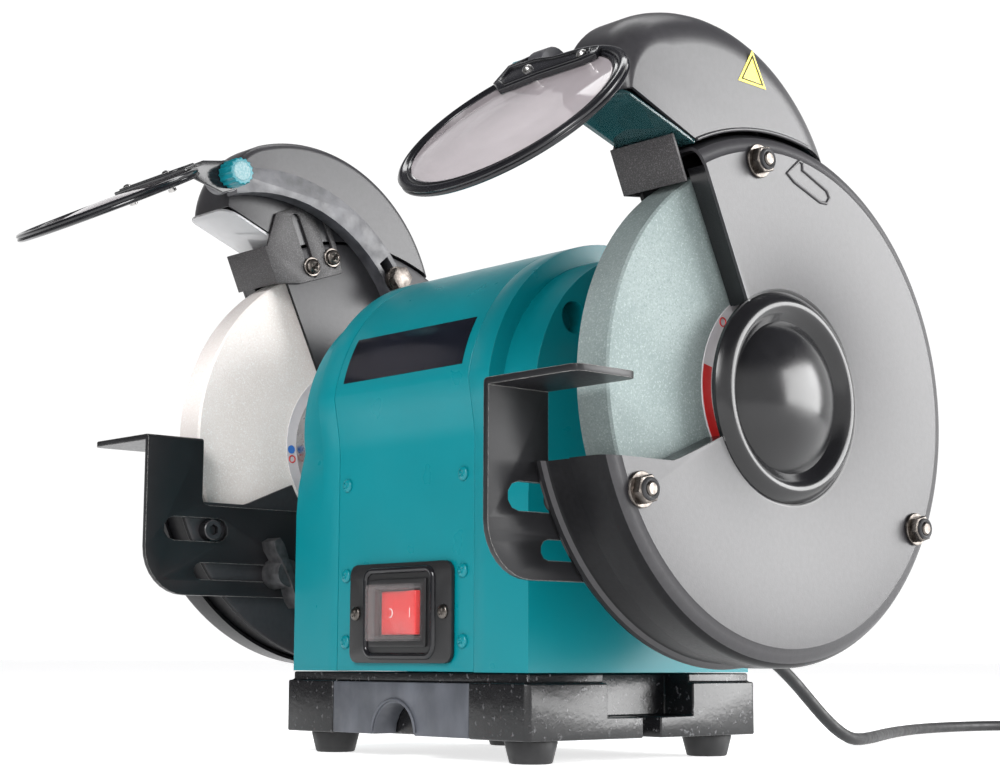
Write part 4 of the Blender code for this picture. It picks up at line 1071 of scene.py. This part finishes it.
def wheels():
    grit = {"left": WHITE_GRIT, "right": GREEN_GRIT}
    soft = 1.0
    wheel = [(WHEEL_RADIUS - soft, WHEEL_OUTER), (WHEEL_RADIUS, WHEEL_OUTER - soft),
             (WHEEL_RADIUS, WHEEL_INNER + soft), (WHEEL_RADIUS - soft, WHEEL_INNER),
             (8.0, WHEEL_INNER), (8.0, WHEEL_OUTER)]
    edge = WHEEL_INNER - 0.7
    inner_flange = [(FLANGE_RADIUS, edge), (FLANGE_RADIUS, 132.6), (39.2, 131.6), (35.4, 129.8),
                    (20, 125.6), (18, 124.4), (18, 118.4), (17.4, 118), (8.8, 118), (8.8, edge)]
    out = WHEEL_OUTER
    outer_flange = [(8.0, out + 7), (25.4, out + 7), (27, out + 6.6), (38, out + 5.4), (39.6, out + 4.4),
                    (FLANGE_RADIUS, out + 3.2), (FLANGE_RADIUS, out + 0.7), (8.0, out + 0.7)]
    for name, side in SIDES.items():
        grinding = on_shaft(f"grit_wheel_{name}", wheel, side, steps=144)
        dress(grinding, "rotor", grit[name], f"wheel_{name}")
        for where, start in (("inner", WHEEL_INNER - 0.55), ("outer", WHEEL_OUTER + 0.05)):
            end = start + BLOTTER_SHEET
            disc = [(BLOTTER_RADIUS, start), (BLOTTER_RADIUS, end), (9.0, end), (9.0, start)]
            dress(on_shaft(f"blotter_{where}_{name}", disc, side), "rotor", PALE_PAPER)
        for where, profile in (("inner", inner_flange), ("outer", outer_flange)):
            flange = on_shaft(f"flange_{where}_{name}", profile, side)
            dress(flange, "rotor", STEEL, f"{where}_flange_{name}")
        refined(f"wheel_nut_{name}", "rotor", BRONZED, 0.6)
    shaft = [(0, 181.5), (6.6, 181.5), (7.7, 180.3), (7.7, 128), (8.5, 127), (8.5, 66), (11, 65)]
    mirrored = [(radius, -out) for radius, out in reversed(shaft)]
    turned = on_shaft("shaft_fine", shaft + mirrored, 1, steps=48, closed=False)
    dress(turned, "rotor", STEEL, "rotor_shaft")


def wheel_signs():
    """Plain coloured marks on the papers, with no picture or wording."""
    centre = (0.0, SHAFT_Z)
    x = WHEEL_OUTER + 0.56
    sector = arc(centre, BLOTTER_RADIUS - 0.4, 168, 232, 24) + arc(centre, 40.4, 232, 168, 24)
    dress(prism("paper_sector", "YZ", sector, x, x + 0.1), "rotor", RED_PAPER)
    ring = [(WHEEL_OUTER + 0.7, *spot) for spot in arc(polar(138, 43.3), 1.9, 0, 345, 23)]
    dress(tube("paper_ring_right", ring, 0.3, True), "rotor", RED_PAPER)
    x = -(WHEEL_INNER - 0.6)
    spot = polar(184, 43.2)
    dress(rod("paper_dot", (x, *spot), (x + 0.15, *spot), 2.3), "rotor", BLUE)
    ring = [(x, *spot) for spot in arc(polar(191, 43.2), 1.9, 0, 345, 23)]
    dress(tube("paper_ring_left", ring, 0.35, True), "rotor", RED_PAPER)


# Guards

def opening_outline(radius):
    """Outline of the wedge in front of a wheel where the guard is open."""
    ring = arc(GUARD_CENTRE, radius, 206, 122.6, 30)
    return ([(-200, OPENING_FLOOR), (-79, OPENING_FLOOR), (-75.5, OPENING_FLOOR + 1.1)] + ring
            + [(-60, SHAFT_Z + 100), (-75, SHAFT_Z + 131), (-200, SHAFT_Z + 131)])


def opening_cutter(side, radius):
    return prism("guard_opening", "YZ", opening_outline(radius), *span(side, 100, 220))


def guard_body(name, side):
    back = GUARD_BACK
    wall = GUARD_RADIUS - GUARD_SHEET - 0.8
    profile = [(wall, WALL_END), (wall, back + 6.4), (wall + 0.6, back + 5.2), (GUARD_RADIUS, back + 4),
               (GUARD_RADIUS + 0.6, back + 2.4), (GUARD_RADIUS + 0.2, back + 0.7),
               (GUARD_RADIUS - 1.4, back), (GUARD_BORE, back), (GUARD_BORE, back + 2),
               (wall - GUARD_SHEET, back + 2), (wall - GUARD_SHEET, WALL_END)]
    body = on_shaft(f"guard_back_{name}", profile, side, GUARD_CENTRE, steps=144)
    cut(body, opening_cutter(side, GUARD_BORE - 4))
    join(body, bar("guide_stud", side, GUIDE_STUD_END, back + 1, GUIDE_STUD, 5.2, 32, 0.5))
    cut(body, bar("stud_socket", side, GUIDE_STUD_END - 2.9, GUIDE_STUD_END + 2.6, GUIDE_STUD, 2.9, 6))
    dress(smooth(body), "frame", POWDER, f"guard_body_{name}")
    # faces that do not look along the shaft get the darker coat as painted shade
    paint_faces(body, SHADED_WALL, lambda face: abs(face.normal.x) < 0.5)


def cover_profile():
    """Radius and distance of the cover's face: dome, ring, flat face and rolled rim."""
    face = GUARD_FACE
    points = []
    for step in range(15):
        radius = 33.5 * step / 14
        points.append((radius, face + 12 - 12.6 * (radius / 33.5) ** 2.3))
    for step in range(1, 13):
        across = step / 12
        points.append((34.6 + across * 12.0, face - 0.6 + 4.6 * math.sin(math.pi * across) ** 0.9))
    points += [(GUARD_BORE + 0.4, face), (GUARD_RADIUS - 8.4, face), (GUARD_RADIUS - 7.6, face - 0.5)]
    for step in range(1, 9):
        turn = math.radians(90 * step / 8)
        radius = GUARD_RADIUS - 7.2 + 7.2 * math.sin(turn)
        points.append((radius, face - 0.7 - 6.4 * (1 - math.cos(turn))))
    return points + [(GUARD_RADIUS, face - LIP_DEPTH)]


def guard_cover(name, side):
    cover = on_shaft(f"cover_{name}", cover_profile(), side, GUARD_CENTRE, steps=144, closed=False)
    thicken(cover)
    cut(cover, opening_cutter(side, GUARD_BORE))
    dress(smooth(cover), "frame", POWDER, f"guard_cover_{name}")
    middle = Vector((0.0, GUARD_CENTRE[0] * MM, GUARD_CENTRE[1] * MM))
    paint_faces(cover, PRESSING, lambda face: (face.center - middle).yz.length < (GUARD_BORE + 0.2) * MM)
    # the rolled rim gets the darker coat as painted shade
    paint_faces(cover, SHADED_WALL, lambda face: (face.center - middle).yz.length > (GUARD_RADIUS - 2.2) * MM)
    cover_flange(name, side)
    arrow = [(-3.4, 259.9), (5.2, 267.0), (7.6, 266.4), (7.6, 263.2), (24.6, 256.6), (26.4, 253.6),
             (24.0, 250.6), (19.6, 250.6), (1.6, 256.8)]
    outline = [(side * (GUARD_FACE + 0.1), y, z) for y, z in arrow]
    dress(tube(f"turn_arrow_{name}", outline, 0.75, True), "frame", POWDER)


def cover_flange(name, side):
    """The cover's two straight edges, folded in towards the wheel."""
    near, far = span(side, GUARD_FACE - 11, GUARD_FACE - 0.4)
    fold = prism(f"cover_fold_{name}", "YZ", opening_outline(GUARD_BORE), near, far, grow=1.8)
    cut(fold, opening_cutter(side, GUARD_BORE - 5))
    combine(fold, bar("fold_limit", side, 150, 190, GUARD_CENTRE, GUARD_RADIUS - 9, 144), "INTERSECT")
    dress(smooth(fold), "frame", PRESSING)


def cover_nuts(name, side):
    """Locking nut with its washer and stud end at each fixing of a cover."""
    face = GUARD_FACE + 0.3
    for number, angle in enumerate(STUD_ANGLES, start=1):
        spot = polar(angle, STUD_RADIUS, GUARD_CENTRE)
        near, far = span(side, face + 1.0, face + 5.2)
        hexagon = arc(spot, 6.3, 15, 315, 5)
        nut = prism(f"lock_nut_{name}_{number}", "YZ", hexagon, near, far, rounding=0.55)
        washer = bar("washer", side, face, face + 1.3, spot, 7.5, 40, 0.3)
        dress(merge(nut, washer), "frame", BRONZED, f"cover_nut_{name}_{number}")
        collar = [(4.9, face + 4.8), (4.7, face + 6.2), (4.1, face + 6.6), (3.2, face + 6.2),
                  (3.2, face + 4.8)]
        dress(on_shaft(f"nut_collar_{name}_{number}", collar, side, spot, steps=32), "frame", NYLON)
        stud = bar(f"stud_{name}_{number}", side, face - 4, face + 7.0, spot, 2.9, 32, 0.6)
        dress(stud, "frame", BRONZED)


# Hoods

def about_guard(point, angle):
    turn = math.radians(angle)
    across = point[0] - GUARD_CENTRE[0]
    up = point[1] - GUARD_CENTRE[1]
    return (GUARD_CENTRE[0] + across * math.cos(turn) - up * math.sin(turn),
            GUARD_CENTRE[1] + across * math.sin(turn) + up * math.cos(turn))


def heading(start, end):
    """Direction from one point to another, in degrees."""
    return math.degrees(math.atan2(end[1] - start[1], end[0] - start[0]))


def roof_line(inset):
    """The hood's roof, drawn in by an inset, from the guard over the nose to the mouth."""
    radius = HOOD_RADIUS - inset
    apart = math.dist(HOOD_CENTRE, GUARD_CENTRE)
    down = (radius ** 2 - HOOD_LIP ** 2 + apart ** 2) / (2 * apart)
    to_guard = heading(HOOD_CENTRE, GUARD_CENTRE)
    start = to_guard + math.degrees(math.acos(down / radius))
    nose = polar(NOSE_START, HOOD_RADIUS - NOSE_RADIUS, HOOD_CENTRE)
    points = arc(HOOD_CENTRE, radius, start, NOSE_START, 44)
    for step in range(1, 17):
        along = step / 16
        angle = NOSE_START + (NOSE_END - NOSE_START) * along
        points.append(polar(angle, NOSE_RADIUS - inset * (1 - NOSE_FADE * along), nose))
    return points


def lip_line(rear):
    return arc(GUARD_CENTRE, HOOD_LIP, heading(GUARD_CENTRE, HOOD_MOUTH), heading(GUARD_CENTRE, rear), 32)


def hood_stations():
    inner = HOOD_ROUNDING["inner"]
    outer = HOOD_ROUNDING["outer"]
    stations = []
    for angle in range(0, 91, 15):
        turn = math.radians(angle)
        stations.append((GUARD_BACK + inner * (1 - math.cos(turn)), inner * (1 - math.sin(turn))))
    for angle in range(90, -1, -9):
        turn = math.radians(angle)
        stations.append((HOOD_OUTER - outer * (1 - math.cos(turn)), outer * (1 - math.sin(turn))))
    return stations


def hood(name, side):
    bm = bmesh.new()

    def row(out, points):
        spots = [about_guard(point, HOOD_TURN[name]) for point in points]
        return chain(bm, [(side * out, *spot) for spot in spots], False)[1]

    stations = hood_stations()
    rows = [row(out, roof_line(inset)) for out, inset in stations]
    skin(bm, rows)
    for end in (0, -1):
        out, inset = stations[end]
        lip = row(out, lip_line(roof_line(inset)[0]))
        mouth = bm.edges.new((rows[end][-1].verts[1], lip[0].verts[0]))
        bmesh.ops.contextual_create(bm, geom=rows[end] + [mouth] + lip)
    bmesh.ops.remove_doubles(bm, verts=bm.verts, dist=0.01)
    made = piece_from(f"hood_fine_{name}", bm)
    thicken(made)
    dress(smooth(made, 40.0), "frame", POWDER, f"hood_{name}")
    rear = roof_line(HOOD_ROUNDING["outer"])[0]
    lip = [about_guard(point, HOOD_TURN[name]) for point in lip_line(rear)]
    bead = tube(f"hood_bead_{name}", [(side * HOOD_OUTER, y, z) for y, z in lip], 0.9)
    dress(bead, "frame", POWDER)


def hood_sign():
    """A plain yellow triangle with a dark line inside its edge."""
    corners = [(-20.9, 313.7), (-30.6, 297.8), (-11.8, 297.3)]
    x = HOOD_OUTER
    dress(prism("sign_triangle", "YZ", corners, x + 0.02, x + 0.2), "frame", YELLOW)
    centre = [sum(values) / 3 for values in zip(*corners)]
    line = [(x + 0.2, *(c + 0.72 * (p - c) for p, c in zip(point, centre))) for point in corners]
    dress(tube("sign_line", line, 0.45, True), "frame", LABEL)


# Rests, arresters, shields

def rests(name, side):
    refined(f"tool_rest_{name}", f"rest_{name}", SATIN, 0.45)
    refined(f"wing_bolt_{name}", f"wing_{name}", WING, 1.1, 3)


def arrester(name, side):
    refined(f"spark_arrester_{name}", f"arrester_{name}", ARRESTER, 0.4)
    # the plate's film is a painted reflection on the left, painted shade and reflection on the right
    refined(f"spark_plate_{name}", "frame", MOUTH_PAINTED_LIGHT[name], 0.3)
    seat = ARRESTER_INNER - 1.0
    for number, spot in enumerate(ARRESTER_SCREWS, start=1):
        washer = bar(f"arrester_washer_{name}_{number}", side, seat, ARRESTER_INNER, spot, 5.4, 32, 0.3)
        dress(washer, "frame", BRONZED)
        pan_screw(f"arrester_screw_{name}_{number}", (side * seat, *spot), (-side, 0, 0), 4.3, 2.8,
                  BRONZED, "frame")


def shield_arm(name, side):
    refined(f"shield_arm_{name}", f"arm_{name}", ARM, 0.9, 3)
    refined(f"arm_bolt_{name}", "frame", BRONZED, 0.25)


def tilted(obj, name):
    """Turn a piece of an eye shield down about its pivot."""
    pivot = Vector((0.0, *LENS_PIVOT)) * MM
    turn = Matrix.Rotation(math.radians(LENS_TILT[name]), 4, "X")
    obj.data.transform(Matrix.Translation(pivot) @ turn @ Matrix.Translation(-pivot))
    return obj


def oval(axes, centre, height, steps=96):
    points = []
    for step in range(steps):
        turn = 2 * math.pi * step / steps
        x = centre[0] + axes[0] * math.cos(turn)
        y = centre[1] + axes[1] * math.sin(turn)
        points.append((x, y, height))
    return points


def lens_frame(name, side):
    """Oval frame with two beads, its riveted tab and the lug on the arm."""
    centre = (side * LENS_X, LENS_PIVOT[0] - LENS_REACH)
    level = LENS_PIVOT[1] + LENS_RISE
    upper = [(-6.4, 0.0), (-6.4, 1.0), (-5.9, 1.6), (-5.1, 1.7), (-4.5, 1.2), (-3.9, 1.7), (-3.0, 2.2),
             (-1.9, 2.3), (-0.8, 1.9), (-0.1, 1.2), (-0.2, 0.5), (-0.7, 0.0)]
    profile = upper + [(out, -height) for out, height in reversed(upper[1:-1])]
    bm = bmesh.new()
    rings = []
    for out, height in profile + profile[:1]:
        loop = oval((FRAME_AXES[0] + out, FRAME_AXES[1] + out), centre, level + height)
        rings.append(chain(bm, loop, True)[1])
    skin(bm, rings)
    bmesh.ops.remove_doubles(bm, verts=bm.verts, dist=0.001)
    oval_frame = smooth(piece_from(f"shield_frame_{name}", bm), 50.0)
    rear = LENS_PIVOT[0] - 13.0
    corners = [(LUG_PLATE[0], rear), (137, rear), (153, rear - 5), (181, rear - 9.5), (183, rear - 16),
               (176, rear - 17.5), (150, rear - 17.5), (128, rear - 20), (LUG_PLATE[0], rear - 12)]
    outline = [(side * x, y) for x, y in corners]
    tab = prism("tab", "XY", outline, level + 1.5, level + 4.2, rounding=0.6)
    middle = (150.0, rear - 11.0)
    bead = [(side * (middle[0] + 0.86 * (x - middle[0])), middle[1] + 0.72 * (y - middle[1]), level + 4.2)
            for x, y in corners]
    across, up = LENS_PIVOT
    lug_outline = (arc(LENS_PIVOT, 8.0, -90, 60, 14)
                   + [(across - 12, level + 4.2), (across - 25, level + 4.2),
                      (across - 22, up + 6.0), (across - 8, up - 7.0)])
    lug = prism("lug", "YZ", lug_outline, *span(side, *LUG_PLATE), rounding=0.3)
    whole = merge(oval_frame, tab, tube("tab_bead", bead, 0.7, True), lug)
    dress(tilted(whole, name), f"shield_{name}", GLOSS, f"lens_frame_{name}")
    shank = [(0, 6.2), (1.4, 5.9), (2.3, 5.0), (2.3, 4.1), (1.2, 4.1), (1.2, -4.0), (2.2, -4.0),
             (2.2, -5.4), (1.3, -5.9), (0, -6.0)]
    for number, (x, y) in enumerate(((139.3, rear - 10.0), (173.6, rear - 13.0)), start=1):
        rivet = lathe(f"tab_rivet_{name}_{number}", shank, (side * x, y, level), (0, 0, 1), 24, False)
        dress(tilted(rivet, name), f"shield_{name}", STEEL)


def lens(name, side):
    """Clear plate with an oval magnifying swell in its middle."""
    centre = (side * LENS_X, LENS_PIVOT[0] - LENS_REACH)
    level = LENS_PIVOT[1] + LENS_RISE
    half = LENS_HALF
    rings = [(0.3, -half), (0.98, -half), (0.99, -1.0), (0.99, 1.0), (0.98, half), (0.57, half)]
    for step in range(1, 8):
        reach = 0.56 * (1 - step / 8)
        rings.append((reach, half + LENS_SWELL * (1 - (reach / 0.56) ** 2)))
    loops = [oval((OPENING_AXES[0] * scale, OPENING_AXES[1] * scale), centre, level + height)
             for scale, height in rings]
    plate = tilted(lofted(f"shield_lens_{name}", loops), name)
    dress(plate, f"shield_{name}", LENS, f"lens_{name}")


def knob(name, side):
    outline = []
    for step in range(90):
        wave = math.cos(math.radians(step * 4 * 15))
        outline.append(polar(step * 4, 6.95 + 0.45 * max(-0.6, wave), LENS_PIVOT))
    near, far = span(side, 106.9, LUG_PLATE[0] - 0.3)
    grip = prism(f"knob_grip_{name}", "YZ", outline, near, far, rounding=0.5)
    dress(grip, f"knob_{name}", KNOB, f"shield_knob_{name}")
    cap = bar(f"knob_cap_{name}", side, 108, 106.6, LENS_PIVOT, 5.2, 40, 0.4)
    dress(cap, f"knob_{name}", KNOB_FACE)
    screw = bar(f"knob_screw_{name}", side, 114, 130, LENS_PIVOT, 3.0, 32, 0.4)
    dress(screw, f"knob_{name}", STEEL)


def inner_parts():
    repaint("stator_core", LAMINATION)
    repaint("rotor_core", LAMINATION)
    repaint("stator_winding", COPPER)
    for name in SIDES:
        repaint(f"bearing_{name}", STEEL)


for build in (base_and_feet, body_shell, front_panel, switch, wheels, wheel_signs, hood_sign,
              inner_parts):
    build()
for side_name, side_sign in SIDES.items():
    for build in (end_bell, guard_body, guard_cover, cover_nuts, hood, rests, arrester, shield_arm,
                  lens_frame, lens, knob):
        build(side_name, side_sign)
